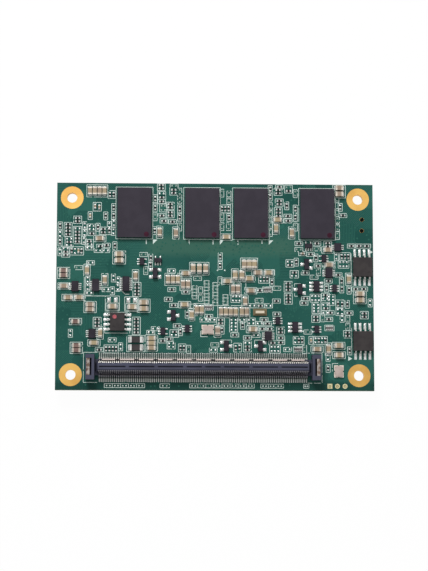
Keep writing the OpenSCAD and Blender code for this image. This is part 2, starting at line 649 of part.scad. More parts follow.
// Plating of one hole: the barrel and a land on each face
module plated_sleeve(bore, land) {
    r = bore / 2;
    wall = r + plating_t;
    rotate_extrude() polygon([[r, 0], [land / 2, 0], [land / 2, -plating_t], [wall, -plating_t],
        [wall, plating_t - board_t], [land / 2, plating_t - board_t], [land / 2, -board_t], [r, -board_t]]);
}

module plated_holes() {
    color(gold) {
        at_mounting_holes() plated_sleeve(hole_d, land_d);
        for (place = small_hole_places)
            at(place) plated_sleeve(small_hole_d, small_hole_d + 2 * small_hole_rim);
    }
}

// A row of flat lands: the first is square
module test_land_shapes(h) {
    at(test_land_place) block(test_land_d, test_land_d, h);
    for (i = [1 : test_land_count - 1])
        at(test_land_place) translate([i * test_land_pitch, 0, 0]) cylinder(d = test_land_d, h = h);
}

module test_lands() {
    color(gold) translate([0, 0, -plating_t]) test_land_shapes(plating_t);
}

// Floor and tongue of the housing, as one section along the connector
module tongue_section() {
    translate([-tongue_half, 0, 0]) rotate([90, 0, 90]) linear_extrude(2 * tongue_half)
        polygon([[-wall_reach, floor_clear], [wall_reach, floor_clear], [wall_reach, floor_h],
            [tongue_face, floor_h], [tongue_face, tongue_h - tongue_bevel],
            [tongue_face - tongue_bevel, tongue_h], [tongue_bevel - tongue_face, tongue_h],
            [-tongue_face, tongue_h - tongue_bevel], [-tongue_face, floor_h], [-wall_reach, floor_h]]);
}

// A side wall: a window over each contact, notches in the top edge, and low ends
module side_wall() {
    window_half = contact_w / 2 + window_gap;
    window_top = floor_h + contact_t + window_gap;
    sill = window_top + notch_sill;
    first = -contact_span / 2;
    top_half = tongue_half - wall_end_l;
    notch_count = 2 * floor((top_half - notch_w) / notch_pitch + 0.5);
    comb = [for (i = [0 : contacts_per_row - 1], s = [[-1, 0], [-1, 1], [1, 1], [1, 0]])
        [first + i * contact_pitch + s[0] * window_half, s[1] == 0 ? floor_h : window_top]];
    crown = [for (i = [notch_count - 1 : -1 : 0], s = [[1, 1], [1, 0], [-1, 0], [-1, 1]])
        [(i - (notch_count - 1) / 2) * notch_pitch + s[0] * notch_w / 2, s[1] == 0 ? sill : wall_h]];
    translate([0, wall_reach, 0]) rotate([90, 0, 0]) linear_extrude(wall_t)
        polygon(concat([[-tongue_half, floor_h]], comb,
            [[tongue_half, floor_h], [tongue_half, sill], [top_half, sill], [top_half, wall_h]], crown,
            [[-top_half, wall_h], [-top_half, sill], [-tongue_half, sill]]));
}

// The right-hand end of the housing: a neck with a ramp up to the tongue, and a block
module housing_end() {
    block_l = end_l - neck_l;
    translate([tongue_half, -wall_reach, 0]) cube([neck_l, 2 * wall_reach, neck_h]);
    translate([tongue_half, tongue_face, 0]) rotate([90, 0, 0]) linear_extrude(tongue_w)
        polygon([[0, neck_h], [ramp_l, neck_h], [0, neck_h + ramp_h]]);
    translate([tongue_half + neck_l, -end_w / 2, 0]) cube([block_l, end_w, tongue_h]);
}

// The slot for the right-hand hold-down plate, with room for the mating part above the neck's height
module hold_down_slot() {
    slot_l = hold_down_w + 2 * hold_down_gap;
    slot_w = hold_down_l + 2 * hold_down_gap;
    translate([hold_down_x, 0, -cut_past]) block(slot_l, slot_w, tongue_h + 2 * cut_past);
    translate([hold_down_x - mating_room / 2, 0, neck_h])
        block(slot_l + mating_room, slot_w, tongue_h - neck_h + cut_past);
}

module connector_housing() {
    rib_places = concat([0], [for (s = [-1, 1], i = [0 : 2]) s * (tongue_rib_first + i * tongue_rib_pitch)]);
    color(connector_plastic) at(connector_place) difference() {
        union() {
            tongue_section();
            side_wall();
            mirror([0, 1, 0]) side_wall();
            housing_end();
            mirror([1, 0, 0]) housing_end();
        }
        difference() {
            translate([-contact_span / 2, -tongue_slot_w / 2, tongue_h - tongue_slot_depth])
                cube([contact_span, tongue_slot_w, tongue_slot_depth + cut_past]);
            for (x = rib_places)
                translate([x, 0, 0]) block(tongue_rib_l, tongue_w, tongue_h + 2 * cut_past);
        }
        hold_down_slot();
        mirror([1, 0, 0]) hold_down_slot();
    }
}

// One row of contacts: soldered foot, rise, run through the wall, spring beside the tongue, and hooked tip
module contact_row() {
    foot = contact_t / 2;
    heel = contact_reach - contact_foot;
    knee = (heel + wall_reach) / 2;
    root = tongue_face + contact_t;
    crest = root + contact_bulge;
    bend_h = tongue_h - contact_tip_drop;
    path = [[contact_reach, foot], [heel, foot], [knee, shelf_h], [root, shelf_h],
        [crest, contact_crest_h], [root, bend_h], [root - contact_hook_l, bend_h + contact_hook_h]];
    for (i = [0 : contacts_per_row - 1])
        translate([i * contact_pitch - contact_span / 2, 0, 0]) bent_strip(path, contact_t, contact_w);
}

module connector_contacts_row_a() {
    color(gold) at(connector_place) contact_row();
}

module connector_contacts_row_b() {
    color(gold) at(connector_place) mirror([0, 1, 0]) contact_row();
}

// Bent plates that hold the connector's ends down: soldered leg, then a folded top
module connector_hold_downs() {
    half = (hold_down_w - hold_down_t) / 2;
    top = tongue_h - hold_down_drop - hold_down_t / 2;
    path = [[-half, 0], [-half, top], [half, top], [half, top - hold_down_lip]];
    color(tin) at(connector_place) for (s = [-1, 1])
        translate([s * hold_down_x, 0, 0]) rotate(90) mirror([0, s > 0 ? 1 : 0, 0])
            bent_strip(path, hold_down_t, hold_down_l);
}

module memory_moulding(i) {
    color(moulding) at(memory_places[i]) translate([0, 0, memory_mould_z])
        block(memory_w, memory_l, memory_mould_h);
}

module memory_chip_1() { memory_moulding(0); }
module memory_chip_2() { memory_moulding(1); }
module memory_chip_3() { memory_moulding(2); }
module memory_chip_4() { memory_moulding(3); }

module memory_carriers() {
    color(carrier_green) for (place = memory_places)
        at(place) translate([0, 0, memory_ball_h]) block(memory_w, memory_l, memory_carrier_h);
}

// Two blocks of three columns of balls, sixteen rows long
module memory_solder_balls() {
    columns = [-4, -3, -2, 2, 3, 4];
    rows = 16;
    color(tin) for (place = memory_places)
        at(place) for (c = columns, j = [0 : rows - 1])
            translate([c * memory_ball_pitch, (j - (rows - 1) / 2) * memory_ball_pitch, 0])
                solder_ball(memory_ball_d, memory_ball_h);
}

// Moulded body with a round pin-one dimple near one corner
module dimpled_body(size) {
    dimple_r = 0.4;
    dimple_depth = 0.1;
    inset = 0.9;
    difference() {
        moulded_body(size);
        translate([inset - size[1] / 2, inset - size[0] / 2, size[2] - dimple_depth])
            cylinder(r = dimple_r, h = cut_past);
    }
}

module flash_chip_upper() {
    color(moulding) at(flash_upper_place) rotate(90) dimpled_body(flash_size);
}

module flash_chip_lower() {
    color(moulding) at(flash_lower_place) rotate(-90) dimpled_body(flash_size);
}

module flash_chip_leads() {
    color(tin) for (place = [flash_upper_place, flash_lower_place])
        at(place) rotate(90) lead_rows(flash_size, wide_leads, wide_leads);
}

module controller_chip() {
    color(moulding) at(controller_place) dimpled_body(controller_size);
}

module controller_chip_leads() {
    color(tin) at(controller_place) lead_rows(controller_size, wide_leads, wide_leads);
}

module driver_chips() {
    color(moulding) for (d = driver_places)
        at(d) moulded_body(driver_size(d[2]));
}

module driver_chip_leads() {
    color(tin) for (d = driver_places)
        at(d) lead_rows(driver_size(d[2]), d[3], d[3]);
}

module transistors() {
    color(resistor_black) for (t = transistor_places)
        at(t) moulded_body(transistor_size);
}

module transistor_leads() {
    color(tin) for (t = transistor_places)
        at(t) lead_rows(transistor_size, t[2], t[3]);
}

module regulator_chips() {
    color(moulding) for (place = regulator_places)
        at(place) moulded_body(regulator_size);
}

module regulator_chip_leads() {
    color(tin) for (place = regulator_places)
        at(place) lead_rows(regulator_size, regulator_leads, regulator_leads);
}

module logic_chips() {
    color(moulding) for (c = logic_places)
        at(c) rotate(c[2]) moulded_body(logic_size);
}

// A side with two leads leaves out the middle one
module logic_lead_row(count) {
    outer_pair = [for (i = [0 : 6]) i == 4 ? 2 * logic_size[4] : logic_size[i]];
    if (count == 2)
        lead_row(outer_pair, 2);
    else
        lead_row(logic_size, count);
}

module logic_chip_leads() {
    color(tin) for (c = logic_places)
        at(c) rotate(c[2]) {
            rotate(180) logic_lead_row(c[3]);
            logic_lead_row(c[4]);
        }
}

// Base of a crystal, with a round notch in the middle of each side
module crystal_base() {
    difference() {
        block(crystal_l, crystal_w, crystal_base_h);
        for (s = [-1, 1]) {
            translate([s * crystal_l / 2, 0, -cut_past])
                cylinder(r = crystal_notch_r, h = crystal_base_h + 2 * cut_past);
            translate([0, s * crystal_w / 2, -cut_past])
                cylinder(r = crystal_notch_r, h = crystal_base_h + 2 * cut_past);
        }
    }
}

module crystal_lid() {
    corner_r = 0.3;
    translate([0, 0, crystal_base_h])
        rounded_plate(crystal_l - 2 * crystal_margin, crystal_w - 2 * crystal_margin, crystal_lid_h,
            corner_r);
}

module crystal_bases() {
    color(ceramic_grey) {
        for (c = crystal_places)
            at(c) rotate(c[2]) crystal_base();
        underside() at(underside_crystal_place) crystal_base();
    }
}

module crystal_lids() {
    clock_corner_r = 0.2;
    color(crystal_steel) {
        for (c = crystal_places)
            at(c) rotate(c[2]) crystal_lid();
        underside() at(underside_crystal_place) crystal_lid();
        at(clock_crystal_place) translate([0, 0, crystal_base_h])
            rounded_plate(clock_l - 2 * clock_margin, clock_w - 2 * clock_margin, crystal_lid_h,
                clock_corner_r);
    }
}

module clock_crystal_base() {
    color(ferrite_brown) at(clock_crystal_place) block(clock_l, clock_w, crystal_base_h);
}

module small_capacitors() {
    pitch = small_w + small_gap;
    color(capacitor_tan) {
        parts_along(small_capacitors_along, pitch) chip_core(small_capacitor_size);
        parts_across(small_capacitors_across, pitch) chip_core(small_capacitor_size);
    }
}

module small_resistors() {
    pitch = small_w + small_gap;
    color(resistor_black) {
        parts_along(small_resistors_along, pitch) chip_core(small_resistor_size);
        parts_across(small_resistors_across, pitch) chip_core(small_resistor_size);
    }
}

module small_part_end_caps() {
    pitch = small_w + small_gap;
    color(tin) {
        parts_along(small_resistors_along, pitch) end_caps(small_resistor_size);
        parts_across(small_resistors_across, pitch) end_caps(small_resistor_size);
        parts_along(small_capacitors_along, pitch) end_caps(small_capacitor_size);
        parts_across(small_capacitors_across, pitch) end_caps(small_capacitor_size);
    }
}

module medium_capacitors() {
    pitch = medium_w + medium_gap;
    color(capacitor_tan) {
        parts_along(medium_capacitors_along, pitch) chip_core(medium_size);
        parts_across(medium_capacitors_across, pitch) chip_core(medium_size);
    }
}

module ferrite_beads() {
    color(ferrite_brown) parts_along(ferrite_beads_along, medium_w + medium_gap) chip_core(medium_size);
}

module medium_part_end_caps() {
    pitch = medium_w + medium_gap;
    color(tin) {
        parts_along(medium_capacitors_along, pitch) end_caps(medium_size);
        parts_across(medium_capacitors_across, pitch) end_caps(medium_size);
        parts_along(ferrite_beads_along, pitch) end_caps(medium_size);
    }
}

module large_capacitors() {
    pitch = large_w + large_gap;
    color(capacitor_tan) {
        parts_along(large_capacitors_along, pitch) chip_core(large_size);
        parts_across(large_capacitors_across, pitch) chip_core(large_size);
    }
}

module large_capacitor_end_caps() {
    pitch = large_w + large_gap;
    color(tin) {
        parts_along(large_capacitors_along, pitch) end_caps(large_size);
        parts_across(large_capacitors_across, pitch) end_caps(large_size);
    }
}

module power_resistors() {
    color(resistor_black) for (place = power_resistor_places)
        at(place) chip_core(power_resistor_size);
}

module power_resistor_end_caps() {
    color(tin) for (place = power_resistor_places)
        at(place) end_caps(power_resistor_size);
}

module resistor_arrays() {
    color(resistor_black) for (place = array_places)
        at(place) translate([0, 0, cap_lip]) block(array_l, array_w - 2 * array_band, array_h - cap_lip);
}

module resistor_array_end_caps() {
    pitch = array_l / array_elements;
    color(tin) for (place = array_places, i = [0 : array_elements - 1], s = [-1, 1])
        at(place) translate([(i - (array_elements - 1) / 2) * pitch, s * (array_w - array_band) / 2, 0])
            block(array_cap_w, array_band, array_h);
}

module processor_carrier() {
    color(carrier_green) underside() at(processor_place) translate([0, 0, grid_ball_h])
        block(processor_side, processor_side, processor_carrier_h);
}

module processor_die() {
    color(silicon) underside() at(processor_place) translate([0, 0, die_z]) block(die_l, die_w, die_h);
}

module processor_solder_balls() {
    color(tin) underside() at(processor_place) ball_frame(processor_side);
}

module hub_carrier() {
    color(carrier_green) underside() at(hub_place) translate([0, 0, grid_ball_h])
        block(hub_side, hub_side, hub_carrier_h);
}

module hub_moulding() {
    side = hub_side - 2 * hub_margin;
    corner_r = 0.8;
    color(moulding) underside() at(hub_place) translate([0, 0, hub_mould_z])
        rounded_plate(side, side, hub_mould_h, corner_r);
}

module hub_solder_balls() {
    color(tin) underside() at(hub_place) ball_frame(hub_side);
}

module network_chip() {
    color(moulding) underside() at(network_place) block(network_side, network_side, flat_chip_h);
}

module power_controller_chip() {
    color(moulding) underside() at(power_controller_place)
        block(power_controller_side, power_controller_side, flat_chip_h);
}

module power_transistors() {
    color(resistor_black) underside() for (place = power_transistor_places)
        at(place) block(power_transistor_side, power_transistor_side, flat_chip_h);
}

module flat_chip_pads() {
    four_sides = [0, 90, 180, 270];
    two_sides = [90, 270];
    color(tin) underside() {
        at(network_place) side_pads(network_side, four_sides);
        at(power_controller_place) side_pads(power_controller_side, four_sides);
        for (place = power_transistor_places)
            at(place) side_pads(power_transistor_side, two_sides);
    }
}

// Pressed body of an inductor: bevelled edges, standing on its terminals
module power_inductors() {
    bevel = 0.4;
    half = inductor_side / 2;
    profile = [[-half, inductor_terminal_t], [half, inductor_terminal_t], [half, inductor_h - bevel],
        [half - bevel, inductor_h], [bevel - half, inductor_h], [-half, inductor_h - bevel]];
    color(inductor_grey) underside() for (place = inductor_places)
        at(place) intersection() {
            translate([0, half, 0]) rotate([90, 0, 0]) linear_extrude(inductor_side) polygon(profile);
            translate([-half, 0, 0]) rotate([90, 0, 90]) linear_extrude(inductor_side) polygon(profile);
        }
}

// Bent terminals: up the side of the body and under it
module inductor_terminals() {
    out = (inductor_side + inductor_terminal_t) / 2;
    foot = inductor_terminal_t / 2;
    path = [[out - inductor_terminal_l, foot], [out, foot], [out, inductor_terminal_h]];
    color(tin) underside() for (place = inductor_places, turn = [0, 180])
        at(place) rotate(turn) bent_strip(path, inductor_terminal_t, inductor_terminal_w);
}

module bulk_capacitors() {
    color(resistor_black) underside() for (place = bulk_capacitor_places)
        at(place) moulded_body(bulk_size);
}

// Terminals folded down each end of the body to the board
module bulk_capacitor_terminals() {
    mid = (bulk_size[2] + package_standoff) / 2;
    out = (bulk_size[1] + bulk_size[6]) / 2;
    path = [[out, mid + bulk_size[6] / 2], [out, 0]];
    color(tin) underside() for (place = bulk_capacitor_places, turn = [90, -90])
        at(place) rotate(turn) bent_strip(path, bulk_size[6], bulk_size[5]);
}

module underside_capacitors() {
    small_pitch = small_w + small_gap;
    large_pitch = large_w + large_gap;
    color(capacitor_tan) underside() {
        parts_along(underside_capacitors_along, small_pitch) chip_core(small_capacitor_size);
        parts_across(underside_capacitors_across, small_pitch) chip_core(small_capacitor_size);
        parts_along(underside_large_along, large_pitch) chip_core(large_size);
        parts_across(underside_large_across, large_pitch) chip_core(large_size);
    }
}

module underside_resistors() {
    pitch = small_w + small_gap;
    color(resistor_black) underside() {
        parts_along(underside_resistors_along, pitch) chip_core(small_resistor_size);
        parts_across(underside_resistors_across, pitch) chip_core(small_resistor_size);
    }
}

module underside_end_caps() {
    small_pitch = small_w + small_gap;
    large_pitch = large_w + large_gap;
    color(tin) underside() {
        parts_along(underside_capacitors_along, small_pitch) end_caps(small_capacitor_size);
        parts_across(underside_capacitors_across, small_pitch) end_caps(small_capacitor_size);
        parts_along(underside_large_along, large_pitch) end_caps(large_size);
        parts_across(underside_large_across, large_pitch) end_caps(large_size);
        parts_along(underside_resistors_along, small_pitch) end_caps(small_resistor_size);
        parts_across(underside_resistors_across, small_pitch) end_caps(small_resistor_size);
    }
}

circuit_board();
plated_holes();
test_lands();
connector_housing();
connector_contacts_row_a();
connector_contacts_row_b();
connector_hold_downs();
memory_chip_1();
memory_chip_2();
memory_chip_3();
memory_chip_4();
memory_carriers();
memory_solder_balls();
flash_chip_upper();
flash_chip_lower();
flash_chip_leads();
controller_chip();
controller_chip_leads();
driver_chips();
driver_chip_leads();
transistors();
transistor_leads();
regulator_chips();
regulator_chip_leads();
logic_chips();
logic_chip_leads();
crystal_bases();
crystal_lids();
clock_crystal_base();
small_capacitors();
small_resistors();
small_part_end_caps();
medium_capacitors();
ferrite_beads();
medium_part_end_caps();
large_capacitors();
large_capacitor_end_caps();
power_resistors();
power_resistor_end_caps();
resistor_arrays();
resistor_array_end_caps();
processor_carrier();
processor_die();
processor_solder_balls();
hub_moulding();
hub_carrier();
hub_solder_balls();
network_chip();
power_controller_chip();
power_transistors();
flat_chip_pads();
power_inductors();
inductor_terminals();
bulk_capacitors();
bulk_capacitor_terminals();
underside_capacitors();
underside_resistors();
underside_end_caps();
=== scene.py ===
# %% [markdown]
# # Dressing a system on module
# A system on module is a whole small computer on one board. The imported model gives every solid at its
# real size: the laminate, the chips, the long connector and a few hundred chip parts. This lesson adds
# what a solid model leaves out: solder, printed outlines, covered vias and the finish of each surface.

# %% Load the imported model
import math
import random
from collections import namedtuple
from functools import partial

import bpy
import numpy as np
from mathutils import Matrix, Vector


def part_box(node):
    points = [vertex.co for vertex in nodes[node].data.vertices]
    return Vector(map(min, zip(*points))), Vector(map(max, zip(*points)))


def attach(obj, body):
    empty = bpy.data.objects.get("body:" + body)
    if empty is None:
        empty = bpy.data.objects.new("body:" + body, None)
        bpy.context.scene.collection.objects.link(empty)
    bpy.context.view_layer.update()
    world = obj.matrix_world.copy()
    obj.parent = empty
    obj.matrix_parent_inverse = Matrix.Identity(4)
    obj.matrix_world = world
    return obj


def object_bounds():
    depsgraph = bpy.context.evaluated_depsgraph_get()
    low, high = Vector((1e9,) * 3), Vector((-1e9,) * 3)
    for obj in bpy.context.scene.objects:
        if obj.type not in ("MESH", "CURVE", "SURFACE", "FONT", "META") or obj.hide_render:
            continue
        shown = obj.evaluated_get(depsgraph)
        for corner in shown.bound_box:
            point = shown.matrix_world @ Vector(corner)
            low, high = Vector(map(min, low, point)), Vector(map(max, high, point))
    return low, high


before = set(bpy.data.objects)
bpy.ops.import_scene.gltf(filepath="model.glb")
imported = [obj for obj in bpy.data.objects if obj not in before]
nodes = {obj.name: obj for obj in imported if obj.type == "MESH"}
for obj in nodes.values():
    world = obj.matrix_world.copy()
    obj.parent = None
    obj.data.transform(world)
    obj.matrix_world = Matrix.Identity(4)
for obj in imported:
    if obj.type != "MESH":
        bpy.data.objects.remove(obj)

cad_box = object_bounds()
MM = 0.001
print("CAD box in mm:", [[round(x / MM, 2) for x in corner] for corner in cad_box])

# %% [markdown]
# ## The board's own coordinates
# The print on a board is drawn on a millimetre grid that starts at its lower left corner. The model's
# origin is the middle of the board, on its upper face, so one small function turns grid places into
# scene places. The two faces of the laminate are read from the model and not typed in again.

# %% Board grid and faces
board_low, board_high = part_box("circuit_board")
TOP_FACE = board_high.z
UNDER_FACE = board_low.z


def at(u, v):
    """Scene place of a point on the board's millimetre grid."""
    return board_low.x + u * MM, board_low.y + v * MM


def face_of(side):
    """Height of the board's face: side is 1 for the connector side and -1 for the underside."""
    return TOP_FACE if side > 0 else UNDER_FACE


print("laminate thickness in mm:", round((TOP_FACE - UNDER_FACE) / MM, 2))

# %% [markdown]
# ## Finding every solid
# A node of the model can hold hundreds of like solids, such as all the end caps. To put solder at each
# one, the script needs their places. Corners at the same place are welded, and a label then spreads
# along the triangles until each solid has one label of its own.

# %% Split a node into its solids
WELD = 1e-6


def solids_of(name):
    """The corner points of each separate solid in a node of the model."""
    mesh = nodes[name].data
    points = np.empty(len(mesh.vertices) * 3, np.float32)
    mesh.vertices.foreach_get("co", points)
    corners = np.empty(len(mesh.loops), np.int32)
    mesh.loops.foreach_get("vertex_index", corners)
    welded, place = np.unique(np.round(points.reshape(-1, 3) / WELD), axis=0, return_inverse=True)
    triangles = place.ravel()[corners].reshape(-1, 3)
    label = np.arange(len(welded))
    while True:
        spread = label.copy()
        lowest = label[triangles].min(axis=1)
        np.minimum.at(spread, triangles.ravel(), np.repeat(lowest, 3))
        if np.array_equal(spread, label):
            break
        label = spread
    order = np.argsort(label, kind="stable")
    cuts = np.flatnonzero(np.diff(label[order])) + 1
    return [welded[group] * WELD for group in np.split(order, cuts)]


def side_of(points):
    """The face that a solid stands on: 1 for the connector side, -1 for the underside."""
    middle = (TOP_FACE + UNDER_FACE) / 2
    return 1 if points[:, 2].mean() > middle else -1


print("end caps on the small parts:", len(solids_of("small_part_end_caps")))

# %% [markdown]
# ## Chip parts and their caps
# A chip resistor or capacitor is a ceramic core between two tinned caps. The core and its two nearest
# caps make one part, and the line between the caps says which way the part lies.

# %% Pair cores with caps
Part = namedtuple("Part", "low high side along")


def chip_parts(core_node, cap_node):
    """Every chip part of a node: its box with its caps, its side, and the axis that it lies along."""
    caps = solids_of(cap_node)
    cap_lows = np.array([c.min(axis=0) for c in caps])
    cap_highs = np.array([c.max(axis=0) for c in caps])
    cap_middles = (cap_lows + cap_highs) / 2
    found = []
    for core in solids_of(core_node):
        middle = (core.min(axis=0) + core.max(axis=0)) / 2
        pair = np.argsort(np.linalg.norm(cap_middles - middle, axis=1))[:2]
        reach = np.abs(cap_middles[pair[0]] - cap_middles[pair[1]])
        low = cap_lows[pair].min(axis=0)
        high = cap_highs[pair].max(axis=0)
        found.append(Part(low, high, side_of(core), int(reach[1] > reach[0])))
    return found


PART_NODES = [
    ("small_resistors", "small_part_end_caps"),
    ("small_capacitors", "small_part_end_caps"),
    ("medium_capacitors", "medium_part_end_caps"),
    ("ferrite_beads", "medium_part_end_caps"),
    ("large_capacitors", "large_capacitor_end_caps"),
    ("power_resistors", "power_resistor_end_caps"),
    ("underside_capacitors", "underside_end_caps"),
    ("underside_resistors", "underside_end_caps"),
]
parts = [part for pair in PART_NODES for part in chip_parts(*pair)]
print("chip parts:", len(parts))

# %% [markdown]
# ## Building node trees in code
# Geometry Nodes and shader groups are both trees of nodes. These helpers keep the cells below short:
# one makes a tree with named sockets, one adds a node with its settings, one does sums, and one turns a
# range of values into another.

# %% Helpers for trees
SOCKETS = {
    "geometry": "NodeSocketGeometry",
    "float": "NodeSocketFloat",
    "int": "NodeSocketInt",
    "colour": "NodeSocketColor",
    "material": "NodeSocketMaterial",
}


def new_tree(name, kind, inputs, outputs):
    """A node tree with named sockets, and its input and output nodes."""
    tree = bpy.data.node_groups.new(name, kind)
    for direction, sockets in (("INPUT", inputs), ("OUTPUT", outputs)):
        for title, socket in sockets.items():
            tree.interface.new_socket(title, in_out=direction, socket_type=SOCKETS[socket])
    return tree, tree.nodes.new("NodeGroupInput"), tree.nodes.new("NodeGroupOutput")


def add(tree, kind, inputs=None, **settings):
    """A node with its settings; each input is a value or the output of another node."""
    node = tree.nodes.new(kind)
    for name, value in settings.items():
        setattr(node, name, value)
    for socket, value in (inputs or {}).items():
        if isinstance(value, bpy.types.NodeSocket):
            tree.links.new(value, node.inputs[socket])
        else:
            node.inputs[socket].default_value = value
    return node


def calc(tree, operation, *values):
    """One sum of a tree, as the output of its Math node."""
    return add(tree, "ShaderNodeMath", dict(enumerate(values)), operation=operation).outputs[0]


def ramp(tree, value, low, high, first=0.0, last=1.0, **settings):
    """A value that goes from first to last while another goes from low to high."""
    limits = {"From Min": low, "From Max": high, "To Min": first, "To Max": last}
    return add(tree, "ShaderNodeMapRange", {"Value": value, **limits}, **settings).outputs[0]


print("socket kinds:", ", ".join(SOCKETS))

# %% [markdown]
# ## From a tree to a plain piece
# A modifier runs a tree on a mesh. What it makes is turned into a plain mesh at once, and the modifier
# is taken off, because a finished piece should be a mesh that any other program can read.

# %% Grow a piece
POINT_LAYERS = ("size", "turn")


def grow(name, mesh, tree, values):
    """Runs a tree on a mesh and keeps the result as a piece that rides on the board."""
    piece = bpy.data.objects.new(name, mesh)
    bpy.context.scene.collection.objects.link(piece)
    modifier = piece.modifiers.new("grow", "NODES")
    modifier.node_group = tree
    for socket in tree.interface.items_tree:
        if socket.in_out == "INPUT" and socket.name in values:
            modifier[socket.identifier] = values[socket.name]
    piece.update_tag()
    graph = bpy.context.evaluated_depsgraph_get()
    grown = bpy.data.meshes.new_from_object(piece.evaluated_get(graph))
    piece.modifiers.clear()
    piece.data = grown
    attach(piece, "root")
    triangles = sum(len(face.vertices) - 2 for face in grown.polygons)
    size = [round(x / MM, 2) for x in piece.dimensions]
    print(name, "has", triangles, "triangles and measures", size, "mm")


def point_mesh(name, places, sizes, turns):
    """A mesh of loose points, each with a size and a turn for the shape that will stand there."""
    mesh = bpy.data.meshes.new(name)
    mesh.from_pydata([tuple(p) for p in places], [], [])
    for title, rows in zip(POINT_LAYERS, (sizes, turns)):
        layer = mesh.attributes.new(title, "FLOAT_VECTOR", "POINT")
        layer.data.foreach_set("vector", np.array(rows, np.float32).ravel())
    return mesh


print("each point carries:", " and ".join(POINT_LAYERS))

# %% [markdown]
# ## Colours
# Colours are written as they look on a screen, from 0 to 255, and turned into the linear values that
# a shader works with. Masks decide where one colour gives way to another, so a second helper mixes two.

# %% Colour helpers
def linear(level):
    """One channel of a screen colour, from 0 to 255, in linear light."""
    share = level / 255
    return ((share + 0.055) / 1.055) ** 2.4 if level > 10 else share / 12.92


def screen(red, green, blue):
    """A screen colour as linear red, green, blue and alpha."""
    return linear(red), linear(green), linear(blue), 1.0


def blend(tree, share, first, second):
    """Two colours mixed by a share, as the output of the tree's Mix node."""
    mix = add(tree, "ShaderNodeMixRGB", {"Fac": share, "Color1": first, "Color2": second})
    return mix.outputs[0]


print("mid grey in linear light:", round(linear(128), 3))

# %% [markdown]
# ## Effects that several finishes share
# No real surface has one flat colour. A shader group mixes two tones in soft patches and gives a fine
# grain beside it. Each finish places the group with its own tones and scales, and feeds the grain to
# its roughness and its bump.

# %% Tone and grain group
PATCH_LOW = 0.35
PATCH_HIGH = 0.65
surface_tree, surface_in, surface_out = new_tree(
    "tone_and_grain",
    "ShaderNodeTree",
    {"Tone": "colour", "Second tone": "colour", "Patches per metre": "float", "Grains per metre": "float"},
    {"Colour": "colour", "Grain": "float"},
)
surface_place = add(surface_tree, "ShaderNodeTexCoord").outputs["Object"]


def noise(scale, detail):
    """Soft noise from 0 to 1 on the object's own coordinates."""
    values = {"Vector": surface_place, "Scale": scale, "Detail": detail}
    return add(surface_tree, "ShaderNodeTexNoise", values).outputs["Fac"]


patches = noise(surface_in.outputs["Patches per metre"], detail=3.0)
grains = noise(surface_in.outputs["Grains per metre"], detail=4.0)
patch_share = ramp(surface_tree, patches, PATCH_LOW, PATCH_HIGH, interpolation_type="SMOOTHSTEP")
two_tones = blend(surface_tree, patch_share, surface_in.outputs["Tone"], surface_in.outputs["Second tone"])
surface_tree.links.new(two_tones, surface_out.inputs["Colour"])
surface_tree.links.new(grains, surface_out.inputs["Grain"])
print("shared groups:", surface_tree.name)

# %% [markdown]
# ## Finishes made from the group
# Most finishes differ only in their tones, their gloss and the size of their grain, so one function
# makes them all. Metals and plastics share it: the metallic value is set on the shader itself. The
# specular level of the dull plastics is low, because dark matt surfaces look grey when it is not.

# %% Make a finish
GRAIN_LOW = 0.3
GRAIN_HIGH = 0.7
RELIEF_STRENGTH = 0.6
Finish = namedtuple("Finish", "material tree shader surface")


def finish(
    name, tone, second, rough, metallic=0.0, patch=0.004, grain=0.00006, bump=0.000004, specular=0.22
):
    """A finish with two tones in patches, and a grain in its gloss and relief. Sizes are in metres."""
    material = bpy.data.materials.new(name)
    material.use_nodes = True
    tree = material.node_tree
    shader = tree.nodes["Principled BSDF"]
    surface = add(
        tree,
        "ShaderNodeGroup",
        {
            "Tone": screen(*tone),
            "Second tone": screen(*second),
            "Patches per metre": 1 / patch,
            "Grains per metre": 1 / grain,
        },
        node_tree=surface_tree,
    )
    gloss = ramp(tree, surface.outputs["Grain"], GRAIN_LOW, GRAIN_HIGH, *rough)
    bumps = {"Height": surface.outputs["Grain"], "Distance": bump, "Strength": RELIEF_STRENGTH}
    relief = add(tree, "ShaderNodeBump", bumps)
    tree.links.new(surface.outputs["Colour"], shader.inputs["Base Color"])
    tree.links.new(gloss, shader.inputs["Roughness"])
    tree.links.new(relief.outputs[0], shader.inputs["Normal"])
    shader.inputs["Metallic"].default_value = metallic
    shader.inputs["Specular IOR Level"].default_value = specular
    return Finish(material, tree, shader, surface)


def recolour(made, colour):
    """Feeds another colour of its tree to a finish."""
    made.tree.links.new(colour, made.shader.inputs["Base Color"])


print("a finish holds:", ", ".join(Finish._fields))

# %% [markdown]
# Metals come first, then mouldings, ceramics and inks. Each line gives two tones and a range of gloss, and
# then, where they differ from the usual, the metallic value, the size of the patches, the grain and relief.

# %% Plain finishes
gold = finish("gold_plating", (234, 190, 108), (216, 168, 92), (0.4, 0.58), 1.0, 0.006)
land_tin = finish("tinned_land", (228, 222, 184), (206, 196, 150), (0.4, 0.6), 1.0, 0.0006)
contact_metal = finish("contact_metal", (172, 177, 173), (146, 151, 147), (0.3, 0.5), 0.7, 0.0016)
spring_steel = finish("hold_down_metal", (196, 188, 182), (126, 102, 88), (0.2, 0.36), 1.0, 0.0009)
tin = finish("matt_tin", (228, 228, 224), (196, 196, 193), (0.34, 0.55), 0.6, 0.0011)
warm_tin = finish("fired_cap_metal", (224, 216, 203), (190, 180, 166), (0.34, 0.55), 0.7, 0.0011)
solder = finish("reflowed_solder", (244, 246, 244), (210, 212, 210), (0.24, 0.44), 0.6, 0.0007)
dull_land = finish("unsoldered_land", (146, 160, 152), (120, 138, 130), (0.45, 0.65), 0.4, 0.0007)
lid_metal = finish("nickel_lid", (216, 199, 191), (192, 174, 165), (0.3, 0.48), 1.0, 0.003)
